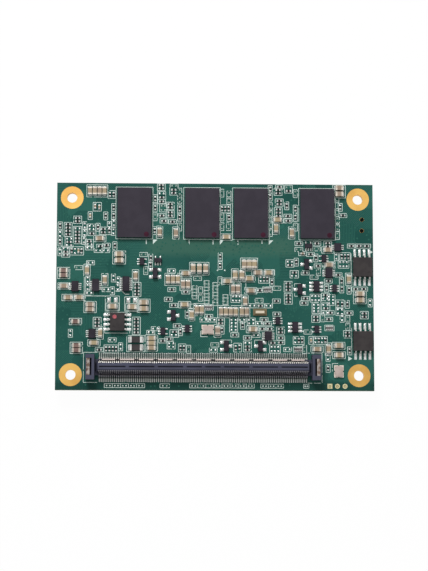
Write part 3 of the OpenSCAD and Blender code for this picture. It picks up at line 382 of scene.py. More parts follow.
moulding = finish("chip_moulding", (50, 45, 55), (46, 41, 51), (0.5, 0.75), 0.0, 0.003, 0.00007, 0.000008)
warm_moulding = finish("flash_moulding", (57, 53, 53), (49, 45, 46), (0.45, 0.7), 0.0, 0.002)
black_moulding = finish("black_moulding", (44, 39, 49), (36, 31, 40), (0.42, 0.62), 0.0, 0.002)
carrier = finish("carrier_laminate", (48, 92, 58), (40, 80, 52), (0.3, 0.45), 0.0, 0.004)
pale_ceramic = finish("crystal_ceramic", (228, 218, 206), (210, 200, 188), (0.45, 0.65), 0.0, 0.002)
brown_ceramic = finish("clock_ceramic", (124, 112, 84), (108, 96, 72), (0.45, 0.65), 0.0, 0.002)
ferrite = finish("ferrite", (124, 102, 95), (106, 84, 79), (0.4, 0.6), 0.0, 0.0015)
powder = finish("pressed_powder", (78, 78, 80), (66, 66, 69), (0.55, 0.8), 0.0, 0.003, 0.00015, 0.00002)
silicon = finish("polished_silicon", (96, 102, 116), (88, 95, 112), (0.06, 0.12), 0.85, 0.006)
ink = finish("printing_ink", (213, 225, 219), (193, 209, 202), (0.5, 0.7), 0.0, 0.003)
red_ink = finish("maroon_mark", (66, 26, 44), (54, 20, 36), (0.45, 0.6), 0.0, 0.001, specular=0.1)
paint = finish("paint_dot", (184, 100, 106), (160, 78, 86), (0.25, 0.4), 0.0, 0.0006)
# Painted shade that makes the small holes look black
painted_hole_shade = finish("painted_hole_shade", (8, 11, 10), (5, 7, 7), (0.5, 0.7), 0.0, 0.002, specular=0.05)
print("materials so far:", len(bpy.data.materials))

# %% [markdown]
# ## Ceramics that differ from part to part
# Chip capacitors come from many reels, so neighbours differ: tan, pinkish and olive. The patches of the
# group are made about as large as the space between parts, so each part takes its own tone. A chip
# resistor has a black glaze on top only, and the pale ceramic shows at its sides, so its finish asks
# which way the surface faces. Arrays and power resistors have a paler glaze of their own.

# %% Capacitor and resistor finishes
CERAMIC_SIDE = screen(150, 150, 144)
capacitor = finish("capacitor_ceramic", (165, 150, 120), (148, 130, 114), (0.35, 0.55), 0.0, 0.0035)
resistor = finish("resistor_glaze", (30, 29, 32), (22, 21, 24), (0.3, 0.5), 0.0, 0.0015)
array_glaze = finish("array_glaze", (104, 104, 102), (80, 80, 80), (0.35, 0.55), 0.0, 0.0006)
power_glaze = finish("power_glaze", (62, 58, 58), (52, 48, 49), (0.35, 0.55), 0.0, 0.002)


def upright_faces(tree):
    """A mask that is 1 where the surface stands upright and 0 where it lies flat."""
    normal = add(tree, "ShaderNodeNewGeometry").outputs["Normal"]
    height = add(tree, "ShaderNodeSeparateXYZ", {"Vector": normal}).outputs["Z"]
    return calc(tree, "LESS_THAN", calc(tree, "ABSOLUTE", height), 0.5)


glaze = resistor.surface.outputs["Colour"]
recolour(resistor, blend(resistor.tree, upright_faces(resistor.tree), glaze, CERAMIC_SIDE))
print("ceramic finishes:", capacitor.material.name, resistor.material.name)

# %% [markdown]
# ## Two kinds of lid
# The lids of the crystals are one node of the model. The clock crystal's lid is brown with a painted
# highlight, a bright strip along its middle that stands for a reflection, so the finish asks how far it is
# from the middle of that crystal.

# %% Lid finish
CLOCK_REACH = 2.6 * MM
# Size of the painted highlight on the clock crystal's lid
CLOCK_HIGHLIGHT_SIZE = (1.15 * MM, 0.32 * MM)
CLOCK_BROWN = screen(124, 112, 86)
CLOCK_HIGHLIGHT = screen(226, 214, 194)


def axes_of(tree):
    """The axes of the object's own coordinates in a shader."""
    place = add(tree, "ShaderNodeTexCoord").outputs["Object"]
    return add(tree, "ShaderNodeSeparateXYZ", {"Vector": place}).outputs


def away_from(tree, value, middle):
    """How far a value of a shader is from a middle."""
    return calc(tree, "ABSOLUTE", calc(tree, "SUBTRACT", value, middle))


clock_low, clock_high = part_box("clock_crystal_base")
clock_middle = (clock_low + clock_high) / 2
lid_axes = axes_of(lid_metal.tree)
lid_sum = partial(calc, lid_metal.tree)
along_clock = away_from(lid_metal.tree, lid_axes["X"], clock_middle.x)
across_clock = away_from(lid_metal.tree, lid_axes["Y"], clock_middle.y)
is_clock = lid_sum("LESS_THAN", lid_sum("MAXIMUM", along_clock, across_clock), CLOCK_REACH)
in_length = lid_sum("LESS_THAN", along_clock, CLOCK_HIGHLIGHT_SIZE[0])
in_width = lid_sum("LESS_THAN", across_clock, CLOCK_HIGHLIGHT_SIZE[1])
# Painted highlight: a bright strip that stands for a reflection on the lid
in_highlight = lid_sum("MULTIPLY", in_length, in_width)
clock_tone = blend(lid_metal.tree, in_highlight, CLOCK_BROWN, CLOCK_HIGHLIGHT)
recolour(lid_metal, blend(lid_metal.tree, is_clock, lid_metal.surface.outputs["Colour"], clock_tone))
print("clock crystal in mm:", [round(x / MM, 2) for x in clock_high - clock_low])

# %% [markdown]
# ## Copper under the solder mask
# Under the green lacquer run copper traces, and they show as slightly lighter lines that stand a few
# hundredths of a millimetre proud. Drawing them one by one would take a layout program. Here the board
# is split into square cells, each cell gets a direction of its own in steps of 45 degrees, and stripes
# in that direction are the traces. Some cells stay plain, as a poured plane does.

# %% Trace group
DIRECTIONS = 4
ROUTED_FROM = 0.3
POURED_FROM = 0.6
trace_tree, trace_in, trace_out = new_tree(
    "copper_traces",
    "ShaderNodeTree",
    {"Cell": "float", "Trace pitch": "float", "Trace share": "float"},
    {"Copper": "float"},
)
trace_sum = partial(calc, trace_tree)
trace_place = add(trace_tree, "ShaderNodeTexCoord").outputs["Object"]
cells = add(
    trace_tree,
    "ShaderNodeTexVoronoi",
    {"Vector": trace_place, "Scale": trace_sum("DIVIDE", 1.0, trace_in.outputs["Cell"])},
    voronoi_dimensions="2D",
    distance="CHEBYCHEV",
)
draws = add(trace_tree, "ShaderNodeSeparateColor", {"Color": cells.outputs["Color"]}).outputs
step = trace_sum("FLOOR", trace_sum("MULTIPLY", draws["Red"], float(DIRECTIONS)))
angle = trace_sum("MULTIPLY", step, math.pi / DIRECTIONS)
axes = add(trace_tree, "ShaderNodeSeparateXYZ", {"Vector": trace_place}).outputs
across_x = trace_sum("MULTIPLY", axes["X"], trace_sum("COSINE", angle))
across_y = trace_sum("MULTIPLY", axes["Y"], trace_sum("SINE", angle))
across = trace_sum("ADD", across_x, across_y)
stripe = trace_sum("FRACT", trace_sum("DIVIDE", across, trace_in.outputs["Trace pitch"]))
is_trace = trace_sum("LESS_THAN", stripe, trace_in.outputs["Trace share"])
is_routed = trace_sum("GREATER_THAN", draws["Green"], ROUTED_FROM)
is_bare = trace_sum("GREATER_THAN", draws["Blue"], POURED_FROM)
poured = trace_sum("MULTIPLY", trace_sum("SUBTRACT", 1.0, is_routed), is_bare)
copper = trace_sum("ADD", trace_sum("MULTIPLY", is_trace, is_routed), poured)
trace_tree.links.new(copper, trace_out.inputs["Copper"])
print("trace group nodes:", len(trace_tree.nodes))

# %% [markdown]
# ## The board's finish
# The lacquer is a deep teal green. Copper shows through it a little lighter, the plane between the
# memory chips and the middle of the board is yellower, the lower edge has no copper and is darker, the
# ground under the connector is darker with dark lacquer and painted shade, and the cut edge shows the bare
# laminate.

# %% Masks on the board
PLANE = ((24, 35.8), (63, 40.5))
PLANE_SOFT = (2 * MM, 1 * MM)
FOOTPRINT = ((11.3, 2.0), (66.4, 9.8))
FOOTPRINT_SOFT = (0.2 * MM, 0.2 * MM)
EDGE_STRIP = (-1, 2.4)
EDGE_STRIP_SOFT = 0.8 * MM
board = finish("solder_mask", (24, 73, 66), (34, 84, 76), (0.3, 0.46), 0.0, 0.02, 0.00012, 0.000003, 0.1)
board_sum = partial(calc, board.tree)
board_axes = axes_of(board.tree)


def soft_band(axis, low, high, soft):
    """A mask that is 1 between two places on an axis, with a soft border."""
    rise = ramp(board.tree, board_axes[axis], low - soft, low + soft)
    fall = ramp(board.tree, board_axes[axis], high + soft, high - soft)
    return board_sum("MULTIPLY", rise, fall)


def soft_field(corners, soft):
    """A mask that is 1 in a rectangle of the board's grid, with soft borders across X and Y."""
    (left, bottom), (right, top) = (at(u, v) for u, v in corners)
    return board_sum("MULTIPLY", soft_band("X", left, right, soft[0]), soft_band("Y", bottom, top, soft[1]))


plane = soft_field(PLANE, PLANE_SOFT)
# Under the connector: dark lacquer with painted shade from the housing and its contacts
footprint_shade_and_lacquer = soft_field(FOOTPRINT, FOOTPRINT_SOFT)
edge_strip = soft_band("Y", *(at(0, v)[1] for v in EDGE_STRIP), EDGE_STRIP_SOFT)
print("board mask nodes:", len(board.tree.nodes))

# %% [markdown]
# The lacquer is mixed in layers: the copper under it, the plane, the dark ground round the connector with
# its painted shade, and the bare laminate at the edges of the board.

# %% Board finish
TRACE_CELL = 5.5 * MM
TRACE_PITCH = 0.42 * MM
TRACE_SHARE = 0.42
COPPER_GREEN = screen(52, 108, 96)
COPPER_SHARE = 0.45
COPPER_HEIGHT = 0.02 * MM
PLANE_GREEN = screen(58, 98, 84)
PLANE_SHARE = 0.8
STRIP_GREEN = screen(18, 50, 44)
STRIP_SHARE = 0.92
EDGE_STRIP_SHARE = 0.65
LAMINATE_EDGE = screen(122, 128, 88)
traces = add(
    board.tree,
    "ShaderNodeGroup",
    {"Cell": TRACE_CELL, "Trace pitch": TRACE_PITCH, "Trace share": TRACE_SHARE},
    node_tree=trace_tree,
)
copper_share = board_sum("MULTIPLY", traces.outputs["Copper"], COPPER_SHARE)
lacquer = blend(board.tree, copper_share, board.surface.outputs["Colour"], COPPER_GREEN)
lacquer = blend(board.tree, board_sum("MULTIPLY", plane, PLANE_SHARE), lacquer, PLANE_GREEN)
# Darker lacquer at the lower edge, and dark lacquer with painted shade under the connector
dark = board_sum("MAXIMUM", board_sum("MULTIPLY", edge_strip, EDGE_STRIP_SHARE), footprint_shade_and_lacquer)
lacquer = blend(board.tree, board_sum("MULTIPLY", dark, STRIP_SHARE), lacquer, STRIP_GREEN)
recolour(board, blend(board.tree, upright_faces(board.tree), lacquer, LAMINATE_EDGE))
trace_relief = add(
    board.tree,
    "ShaderNodeBump",
    {"Height": traces.outputs["Copper"], "Distance": COPPER_HEIGHT, "Strength": 0.5},
)
board.tree.links.new(trace_relief.outputs[0], board.shader.inputs["Normal"])
print("board finish nodes:", len(board.tree.nodes))

# %% [markdown]
# ## The connector's plastic
# The housing is a blue-black plastic. The top edge of the wall on the far side catches the light, and a
# painted highlight shows it as a pale line, broken at each notch. The line is a mask: high enough on the
# wall, far enough from the middle on that side, and not on the end blocks. The notches and the wall on the
# near side lie in shade, which is painted on as a darker tone.

# %% Connector plastic
WALL_TOP = TOP_FACE + 2.6 * MM
WALL_PALE = 0.12 * MM
WALL_INNER = 1.7 * MM
WALL_HALF = 27 * MM
NOTCH_PITCH = 5 * MM
NOTCH_WIDTH = 1.3 * MM
# Tones of the painted shade and the painted highlight on the walls
WALL_SHADE = screen(34, 30, 36)
WALL_LIGHT = screen(206, 190, 184)
plastic = finish("connector_plastic", (70, 72, 90), (62, 64, 80), (0.38, 0.6), 0.0, 0.006)
housing_low, housing_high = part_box("connector_housing")
housing_middle = (housing_low + housing_high) / 2
wall_sum = partial(calc, plastic.tree)
wall_axes = axes_of(plastic.tree)
along_wall = away_from(plastic.tree, wall_axes["X"], housing_middle.x)
across_wall = wall_sum("SUBTRACT", wall_axes["Y"], housing_middle.y)
is_top = wall_sum("LESS_THAN", away_from(plastic.tree, wall_axes["Z"], WALL_TOP), WALL_PALE)
on_far_wall = wall_sum("GREATER_THAN", across_wall, WALL_INNER)
on_near_wall = wall_sum("LESS_THAN", across_wall, -WALL_INNER)
off_ends = wall_sum("LESS_THAN", along_wall, WALL_HALF)
# Painted highlight: the pale line on the top edge of the far wall
painted_wall_highlight = wall_sum("MULTIPLY", wall_sum("MULTIPLY", is_top, on_far_wall), off_ends)
notch_share = wall_sum("FRACT", wall_sum("DIVIDE", along_wall, NOTCH_PITCH))
from_notch = away_from(plastic.tree, notch_share, 0.5)
in_notch = wall_sum("LESS_THAN", from_notch, NOTCH_WIDTH / NOTCH_PITCH / 2)
on_walls = wall_sum("MULTIPLY", wall_sum("ADD", on_far_wall, on_near_wall), off_ends)
# Painted shade: the notches and the near wall
shaded = wall_sum("MULTIPLY", wall_sum("MAXIMUM", in_notch, on_near_wall), on_walls)
wall_tone = blend(plastic.tree, shaded, plastic.surface.outputs["Colour"], WALL_SHADE)
recolour(plastic, blend(plastic.tree, painted_wall_highlight, wall_tone, WALL_LIGHT))
print("connector plastic nodes:", len(plastic.tree.nodes))

# %% [markdown]
# The springs above the walls get a painted highlight in the far row and painted shade in the near one, and
# the feet of the near row get the wall's shadow painted on. Both follow from a contact's place, so masks on
# its coordinates do it.

# %% Contact finish
SPRING_LOW = TOP_FACE + 1.0 * MM
SHADE_START = 2.5 * MM
SHADE_END = 3.0 * MM
# Tones of painted light and shade on the contacts
FOOT_LIGHT = screen(200, 203, 199)
FOOT_SHADE = screen(44, 40, 42)
TIP_HIGHLIGHT = screen(238, 234, 226)
TIP_SHADE = screen(164, 162, 168)
spring_tree = contact_metal.tree
spring_axes = axes_of(spring_tree)
spring_y = calc(spring_tree, "SUBTRACT", spring_axes["Y"], housing_middle.y)
is_near = calc(spring_tree, "LESS_THAN", spring_y, 0.0)
is_high = calc(spring_tree, "GREATER_THAN", spring_axes["Z"], SPRING_LOW)
# Painted shadow of the near wall on the feet of the near row
shade_share = ramp(spring_tree, spring_y, -SHADE_END, -SHADE_START)
near_foot_shadow = blend(spring_tree, shade_share, FOOT_LIGHT, FOOT_SHADE)
foot_tone = blend(spring_tree, is_near, contact_metal.surface.outputs["Colour"], near_foot_shadow)
# Painted highlight on the far row's springs and painted shade on the near row's
tip_tone = blend(spring_tree, is_near, TIP_HIGHLIGHT, TIP_SHADE)
recolour(contact_metal, blend(spring_tree, is_high, foot_tone, tip_tone))
print("contact finish nodes:", len(spring_tree.nodes))

# %% [markdown]
# ## Putting the finishes on the model's nodes
# The solids keep their shape. Only the material in each node's slots changes.

# %% Assign finishes
MEMORY_CHIPS = [f"memory_chip_{i}" for i in range(1, 5)]
NODE_FINISHES = {
    board: ["circuit_board"],
    gold: ["plated_holes"],
    land_tin: ["test_lands"],
    contact_metal: ["connector_contacts_row_a", "connector_contacts_row_b"],
    spring_steel: ["connector_hold_downs"],
    plastic: ["connector_housing"],
    moulding: [*MEMORY_CHIPS, "hub_moulding", "network_chip", "power_controller_chip"],
    warm_moulding: ["flash_chip_upper", "flash_chip_lower", "controller_chip"],
    black_moulding: [
        "driver_chips", "transistors", "regulator_chips", "logic_chips",
        "power_transistors", "bulk_capacitors",
    ],
    carrier: ["memory_carriers", "processor_carrier", "hub_carrier"],
    solder: ["memory_solder_balls", "processor_solder_balls", "hub_solder_balls"],
    pale_ceramic: ["crystal_bases"],
    brown_ceramic: ["clock_crystal_base"],
    lid_metal: ["crystal_lids"],
    capacitor: ["small_capacitors", "medium_capacitors", "large_capacitors", "underside_capacitors"],
    resistor: ["small_resistors", "underside_resistors"],
    array_glaze: ["resistor_arrays"],
    power_glaze: ["power_resistors"],
    ferrite: ["ferrite_beads"],
    warm_tin: ["medium_part_end_caps", "large_capacitor_end_caps"],
    silicon: ["processor_die"],
    powder: ["power_inductors"],
}
finish_of = {name: made for made, names in NODE_FINISHES.items() for name in names}
for name, node in nodes.items():
    node.data.materials.clear()
    node.data.materials.append(finish_of.get(name, tin).material)
print("nodes with a finish of their own:", len(finish_of), "and tinned:", len(nodes) - len(finish_of))

# %% [markdown]
# ## Shapes that stand at points
# Solder and marks are small shapes that stand in hundreds of places. Three helpers serve all their trees:
# one bends a box by the sums of its points, one puts the last touches to a tree, and one sets a copy of
# a shape at each point.

# %% Helpers for shapes at points
BOX_POINTS = (5, 5, 2)


def shaped_box(tree, place_of):
    """A box of side 1 whose points move to the place that a function makes of their axes."""
    counts = {f"Vertices {axis}": count for axis, count in zip("XYZ", BOX_POINTS)}
    box = add(tree, "GeometryNodeMeshCube", counts)
    position = add(tree, "GeometryNodeInputPosition").outputs[0]
    axes = add(tree, "ShaderNodeSeparateXYZ", {"Vector": position}).outputs
    place = add(tree, "ShaderNodeCombineXYZ", place_of(axes)).outputs[0]
    moved = add(tree, "GeometryNodeSetPosition", {"Geometry": box.outputs["Mesh"], "Position": place})
    return moved.outputs[0]


def dress(tree, geometry, material, output):
    """Ends a tree: its geometry is shaded flat and has one material."""
    flat = add(tree, "GeometryNodeSetShadeSmooth", {"Geometry": geometry, "Shade Smooth": False})
    dressed = add(tree, "GeometryNodeSetMaterial", {"Geometry": flat.outputs[0], "Material": material})
    tree.links.new(dressed.outputs[0], output.inputs["Geometry"])


def stand_at_points(tree, source, shape, material, output):
    """Ends a tree: a copy of the shape at each point, by the point's size and turn, as a plain mesh."""
    size, turn = (
        add(tree, "GeometryNodeInputNamedAttribute", {"Name": layer}, data_type="FLOAT_VECTOR")
        for layer in POINT_LAYERS
    )
    rotation = add(tree, "FunctionNodeEulerToRotation", {0: turn.outputs["Attribute"]})
    copies = add(
        tree,
        "GeometryNodeInstanceOnPoints",
        {
            "Points": source.outputs["Geometry"],
            "Instance": shape,
            "Scale": size.outputs["Attribute"],
            "Rotation": rotation.outputs[0],
        },
    )
    real = add(tree, "GeometryNodeRealizeInstances", {"Geometry": copies.outputs[0]})
    dress(tree, real.outputs[0], source.outputs[material], output)


print("points of the box along X, Y and Z:", BOX_POINTS)

# %% [markdown]
# ## Solder at the chip parts
# Molten solder climbs the end of a cap and cools into a hollow slope, which is the bright shape at both
# ends of every chip part. One unit slope is bent from a box inside the tree: it is high at the cap and
# thin at its outer edge. A point at each cap then carries the slope's size and turn.

# %% Solder slope tree
CROWN_DROP = 0.45
ROUND_OFF = 0.25
slope_tree, slope_in, slope_out = new_tree(
    "solder_slopes",
    "GeometryNodeTree",
    {"Geometry": "geometry", "Hollowness": "float", "Rim": "float", "Solder": "material"},
    {"Geometry": "geometry"},
)
slope_sum = partial(calc, slope_tree)


def slope_place(axes):
    """The slope starts at the cap, falls in a hollow curve and is crowned from side to side."""
    out_share = slope_sum("ADD", axes["X"], 0.5)
    side_share = slope_sum("MULTIPLY", axes["Y"], 2.0)
    side_square = slope_sum("MULTIPLY", side_share, side_share)
    fall = slope_sum("POWER", slope_sum("SUBTRACT", 1.0, out_share), slope_in.outputs["Hollowness"])
    crown = slope_sum("SUBTRACT", 1.0, slope_sum("MULTIPLY", side_square, CROWN_DROP))
    height = slope_sum("MAXIMUM", slope_sum("MULTIPLY", fall, crown), slope_in.outputs["Rim"])
    is_upper = slope_sum("GREATER_THAN", axes["Z"], 0.0)
    round_off = slope_sum("MULTIPLY", slope_sum("MULTIPLY", side_square, out_share), ROUND_OFF)
    return {
        "X": slope_sum("SUBTRACT", out_share, round_off),
        "Y": axes["Y"],
        "Z": slope_sum("MULTIPLY", is_upper, height),
    }


stand_at_points(slope_tree, slope_in, shaped_box(slope_tree, slope_place), "Solder", slope_out)
print("slope tree nodes:", len(slope_tree.nodes))

# %% [markdown]
# The tree now needs a point for each end of each part. The slope is as wide as the part, climbs a little
# over half of its height, and runs out further from a wide part than from a narrow one.

# %% Solder slopes
SLOPE_BASE = 0.1 * MM
SLOPE_SHARE = 0.2
SLOPE_CLIMB = 0.6
SLOPE_HOLLOWNESS = 1.9
SLOPE_RIM = 0.1


def width_of(part):
    """How wide a part is across the axis that it lies along."""
    return part.high[1 - part.along] - part.low[1 - part.along]


def slope_reach(part):
    """How far the solder runs out from the end of a part."""
    return SLOPE_BASE + SLOPE_SHARE * width_of(part)


def slopes_on(side):
    """Places, sizes and turns of the solder slopes on one face of the board."""
    rows = []
    flip = 0.0 if side > 0 else math.pi
    for part in (p for p in parts if p.side == side):
        middle = (part.low + part.high) / 2
        size = (slope_reach(part), width_of(part), (part.high[2] - part.low[2]) * SLOPE_CLIMB)
        for direction, end in ((1, part.high), (-1, part.low)):
            place = [middle[0], middle[1], face_of(side)]
            place[part.along] = end[part.along]
            turn = part.along * math.pi / 2 + (0 if direction > 0 else math.pi)
            rows.append((place, size, (flip, 0.0, turn)))
    return zip(*rows)


slope_values = {"Hollowness": SLOPE_HOLLOWNESS, "Rim": SLOPE_RIM, "Solder": solder.material}
for side, name in ((1, "solder_slopes_top"), (-1, "solder_slopes_underside")):
    grow(name, point_mesh(name, *slopes_on(side)), slope_tree, slope_values)

# %% [markdown]
# ## Solder under the leads
# A bent lead stands in a low pad of solder that is a little wider than its foot and runs out past its tip.
# The foot is found as the corners of the lead that touch the board, and the way out is from the middle of
# the lead to its foot. The pad is a box whose upper face is drawn in and crowned.

# %% Solder pad tree
PAD_CROWN = 1.5
pad_tree, pad_in, pad_out = new_tree(
    "solder_pads",
    "GeometryNodeTree",
    {"Geometry": "geometry", "Draw in": "float", "Solder": "material"},
    {"Geometry": "geometry"},
)
pad_sum = partial(calc, pad_tree)


def pad_place(axes):
    """The upper face is drawn in and falls off from its middle."""
    x_square = pad_sum("MULTIPLY", axes["X"], axes["X"])
    y_square = pad_sum("MULTIPLY", axes["Y"], axes["Y"])
    fall = pad_sum("MULTIPLY", pad_sum("ADD", x_square, y_square), PAD_CROWN)
    is_upper = pad_sum("GREATER_THAN", axes["Z"], 0.0)
    scale = pad_sum("SUBTRACT", 1.0, pad_sum("MULTIPLY", is_upper, pad_in.outputs["Draw in"]))
    return {
        "X": pad_sum("MULTIPLY", axes["X"], scale),
        "Y": pad_sum("MULTIPLY", axes["Y"], scale),
        "Z": pad_sum("MULTIPLY", is_upper, pad_sum("SUBTRACT", 1.0, fall)),
    }


stand_at_points(pad_tree, pad_in, shaped_box(pad_tree, pad_place), "Solder", pad_out)
print("pad tree nodes:", len(pad_tree.nodes))

# %% [markdown]
# Each kind of lead has its own pad: how far the solder shows beside the foot, how far it runs out past the
# tip, and how high it stands, all in millimetres. The places with no part are rows on the board's grid.

# %% Leads and bare lands
Lead = namedtuple("Lead", "node margin runout height")
LEADS = [
    Lead("connector_contacts_row_a", 0.01, 0.1, 0.05),
    Lead("connector_contacts_row_b", 0.01, 0.1, 0.05),
    Lead("flash_chip_leads", 0.14, 0.75, 0.14),
    Lead("controller_chip_leads", 0.14, 0.5, 0.12),
    Lead("driver_chip_leads", 0.03, 0.26, 0.1),
    Lead("transistor_leads", 0.22, 0.2, 0.16),
    Lead("regulator_chip_leads", 0.14, 0.3, 0.1),
    Lead("logic_chip_leads", 0.06, 0.15, 0.05),
    Lead("resistor_array_end_caps", 0.1, 0.0, 0.16),
    Lead("flat_chip_pads", 0.08, 0.0, 0.05),
    Lead("inductor_terminals", 0.2, 0.2, 0.15),
    Lead("bulk_capacitor_terminals", 0.2, 0.2, 0.15),
]
# Places with solder and no part, as grid place, count and axis: 0 lies along X, 1 lies across
SOLDERED_ROWS = [
    (9, 33.6, 1, 0), (3.3, 40, 1, 0), (3.3, 38.24, 1, 0), (5.5, 42.75, 1, 0), (2.4, 37.4, 1, 0),
    (9.2, 43.4, 2, 0), (8.7, 38.45, 2, 0), (27.7, 52.3, 1, 0), (61.8, 34.2, 1, 0), (51.8, 22.4, 1, 0),
    (56.1, 22.4, 1, 0), (39, 18.6, 1, 0), (41.2, 18.6, 1, 0), (46.85, 18.6, 4, 0), (49.1, 18.6, 1, 0),
    (51.5, 18.6, 2, 0), (53.8, 17.7, 1, 0), (50.5, 12.5, 1, 0), (68.7, 22.7, 3, 0), (31.1, 14.5, 1, 0),
    (26.2, 16.2, 1, 0), (71.2, 24.4, 1, 0), (72.7, 24.9, 3, 0), (71.2, 22.7, 1, 0), (71.2, 20.6, 1, 0),
    (62.9, 30.4, 1, 0), (15, 42, 1, 1), (0.9, 41.2, 1, 1), (0.9, 36.5, 1, 1), (4.88, 36.7, 1, 1),
    (7.4, 43.5, 1, 1), (7.4, 41.5, 1, 1), (13.9, 43.6, 1, 1), (54, 29.5, 1, 1), (63.15, 13.25, 1, 1),
    (68.5, 13.3, 1, 1), (70.25, 13.3, 1, 1), (67.7, 24.5, 3, 1), (74.5, 21, 1, 1), (75.6, 20.9, 1, 1),
    (83.1, 23.3, 1, 1), (71.8, 8.8, 1, 1), (8.3, 29.1, 1, 1), (8.3, 27.1, 1, 1), (8.7, 25.55, 1, 0),
    (13.2, 26.5, 1, 0), (14.85, 26.2, 1, 1), (15.1, 29.6, 1, 1), (16.25, 28.9, 1, 1), (16.25, 27.1, 1, 1),
    (25, 15.2, 1, 0), (30.4, 12.3, 2, 0), (41.5, 10.6, 1, 0), (52.8, 14.6, 1, 0), (61.1, 10.85, 1, 0),
    (75.6, 19.2, 1, 1), (14.9, 13.2, 1, 0), (17.1, 11.4, 1, 1), (3.9, 14.9, 1, 1), (30.4, 31.55, 1, 0),
    (46.7, 24.3, 3, 1), (75.2, 33.6, 3, 1), (74.2, 35.6, 1, 1), (56.9, 10.95, 3, 1), (11, 36.9, 1, 0),
    (13, 36.9, 1, 0), (7.2, 39.55, 1, 1), (15.1, 44.2, 1, 1),
]
# Places whose lands never saw solder
EMPTY_ROWS = [
    (26, 46, 1, 1), (32.5, 50.6, 1, 1), (32.5, 52.7, 1, 1), (32.5, 43.3, 1, 1), (43.7, 52.5, 1, 1),
    (43.7, 46.1, 1, 1), (43.7, 43.5, 1, 1), (45.6, 52, 1, 1), (45.6, 50.5, 1, 1), (45.5, 43.5, 1, 1),
    (56.6, 49, 1, 1), (56.6, 47, 1, 1), (56.6, 44, 1, 1), (56.6, 42, 1, 1),
    (63.3, 43.5, 1, 1), (63.3, 52.5, 1, 1), (74.4, 51.2, 1, 1), (74.4, 47.5, 1, 1), (74.5, 45.3, 1, 1),
    (74.5, 43.5, 1, 1), (74.5, 41.3, 1, 1), (38.1, 26.3, 1, 1), (35, 10.8, 1, 1), (77.1, 18.9, 1, 1),
    (65.6, 10.9, 1, 1), (77.1, 17.1, 1, 1), (70.4, 19.3, 1, 1), (43.25, 29, 1, 1), (69.4, 31.6, 1, 1),
    (23.6, 31.6, 1, 1), (5.9, 32.3, 1, 0), (23, 35.9, 1, 0), (68.9, 37.7, 1, 0), (31, 54.4, 1, 0),
    (61.5, 54.2, 1, 0), (64.2, 37.5, 1, 0), (35.8, 22.2, 1, 0), (58.3, 27.1, 1, 0),
    (41.9, 12, 1, 0), (66.5, 15.5, 1, 0), (37.3, 29.6, 1, 0), (38.1, 24.6, 1, 1),
    (53.6, 23.85, 1, 0), (68.2, 30.1, 1, 0), (27.7, 48.4, 2, 1),
]
# Ladders of empty lands, each land pair in a frame of its own
LADDERS = [(39.7, 28.6, 7, 0), (42, 28.1, 7, 0), (36.5, 27.2, 4, 0), (44.7, 24.9, 3, 0)]
# Large places with solder and no part: the grid places of their pads
LARGE_BARE_PADS = [(13.95, 23.75), (15.75, 23.75), (19.05, 23.7), (20.8, 23.7)]
print("kinds of lead:", len(LEADS), "and rows of bare lands:", len(SOLDERED_ROWS + EMPTY_ROWS + LADDERS))

# %% [markdown]
# The feet and the rows become points for the tree. A land that never saw solder is lower and duller than
# one that did.

# %% Solder pads
FOOT_TOUCH = 0.02 * MM
BARE_LENGTH = 1.1 * MM
BARE_PITCH = 0.88
BARE_PAD = (0.46 * MM, 0.5 * MM, 0.12 * MM)
DULL_PAD = (0.42 * MM, 0.46 * MM, 0.04 * MM)
LARGE_PAD = (1.0 * MM, 1.3 * MM, 0.3 * MM)
SOLDER_DRAW_IN = 0.3
LAND_DRAW_IN = 0.15


def on_face(places, side=1):
    """Grid places as scene places on one face of the board."""
    return [(*at(u, v), face_of(side)) for u, v in places]


def pads_on(side):
    """Places, sizes and turns of the solder pads on one face of the board."""
    rows = []
    turn = (0.0 if side > 0 else math.pi, 0.0, 0.0)
    face = face_of(side)
    for lead in LEADS:
        for points in solids_of(lead.node):
            if side_of(points) != side:
                continue
            foot = points[np.abs(points[:, 2] - face) < FOOT_TOUCH]
            low = foot.min(axis=0) - lead.margin * MM
            high = foot.max(axis=0) + lead.margin * MM
            way = (low + high - points.min(axis=0) - points.max(axis=0))[:2]
            axis = int(abs(way[1]) > abs(way[0]))
            if way[axis] > 0:
                high[axis] += lead.runout * MM
            else:
                low[axis] -= lead.runout * MM
            middle = (low + high) / 2
            rows.append(((middle[0], middle[1], face), (*(high - low)[:2], lead.height * MM), turn))
    return rows


def places_in(rows):
    """Each place of some rows, as grid place and axis."""
    for u, v, count, along in rows:
        for i in range(count):
            step = i * BARE_PITCH
            yield (u + step, v, 1) if along else (u, v - step, 0)


def bare_pads(rows, size):
    """The two lands of each place with no part."""
    for u, v, along in places_in(rows):
        for end in (-1, 1):
            place = [*at(u, v), TOP_FACE]
            place[along] += end * BARE_LENGTH / 2
            yield place, size, (0.0, 0.0, along * math.pi / 2)


solder_values = {"Draw in": SOLDER_DRAW_IN, "Solder": solder.material}
large_pads = [(place, LARGE_PAD, (0.0, 0.0, 0.0)) for place in on_face(LARGE_BARE_PADS)]
top_pads = [*pads_on(1), *bare_pads(SOLDERED_ROWS, BARE_PAD), *large_pads]
grow("solder_pads_top", point_mesh("solder_pads_top", *zip(*top_pads)), pad_tree, solder_values)
under_mesh = point_mesh("solder_pads_underside", *zip(*pads_on(-1)))
grow("solder_pads_underside", under_mesh, pad_tree, solder_values)
empty_mesh = point_mesh("empty_lands", *zip(*bare_pads(EMPTY_ROWS + LADDERS, DULL_PAD)))
grow("empty_lands", empty_mesh, pad_tree, {"Draw in": LAND_DRAW_IN, "Solder": dull_land.material})

# %% [markdown]
# ## Printed outlines
# Pale ink lines frame nearly every part on a board. Each line is drawn as edges, and a tree turns the
# edges into curves, rounds their corners and sweeps a flat strip of ink along them. Neighbours in a row
# share a line, so every other outline lies a hair higher, and no two faces fall together.

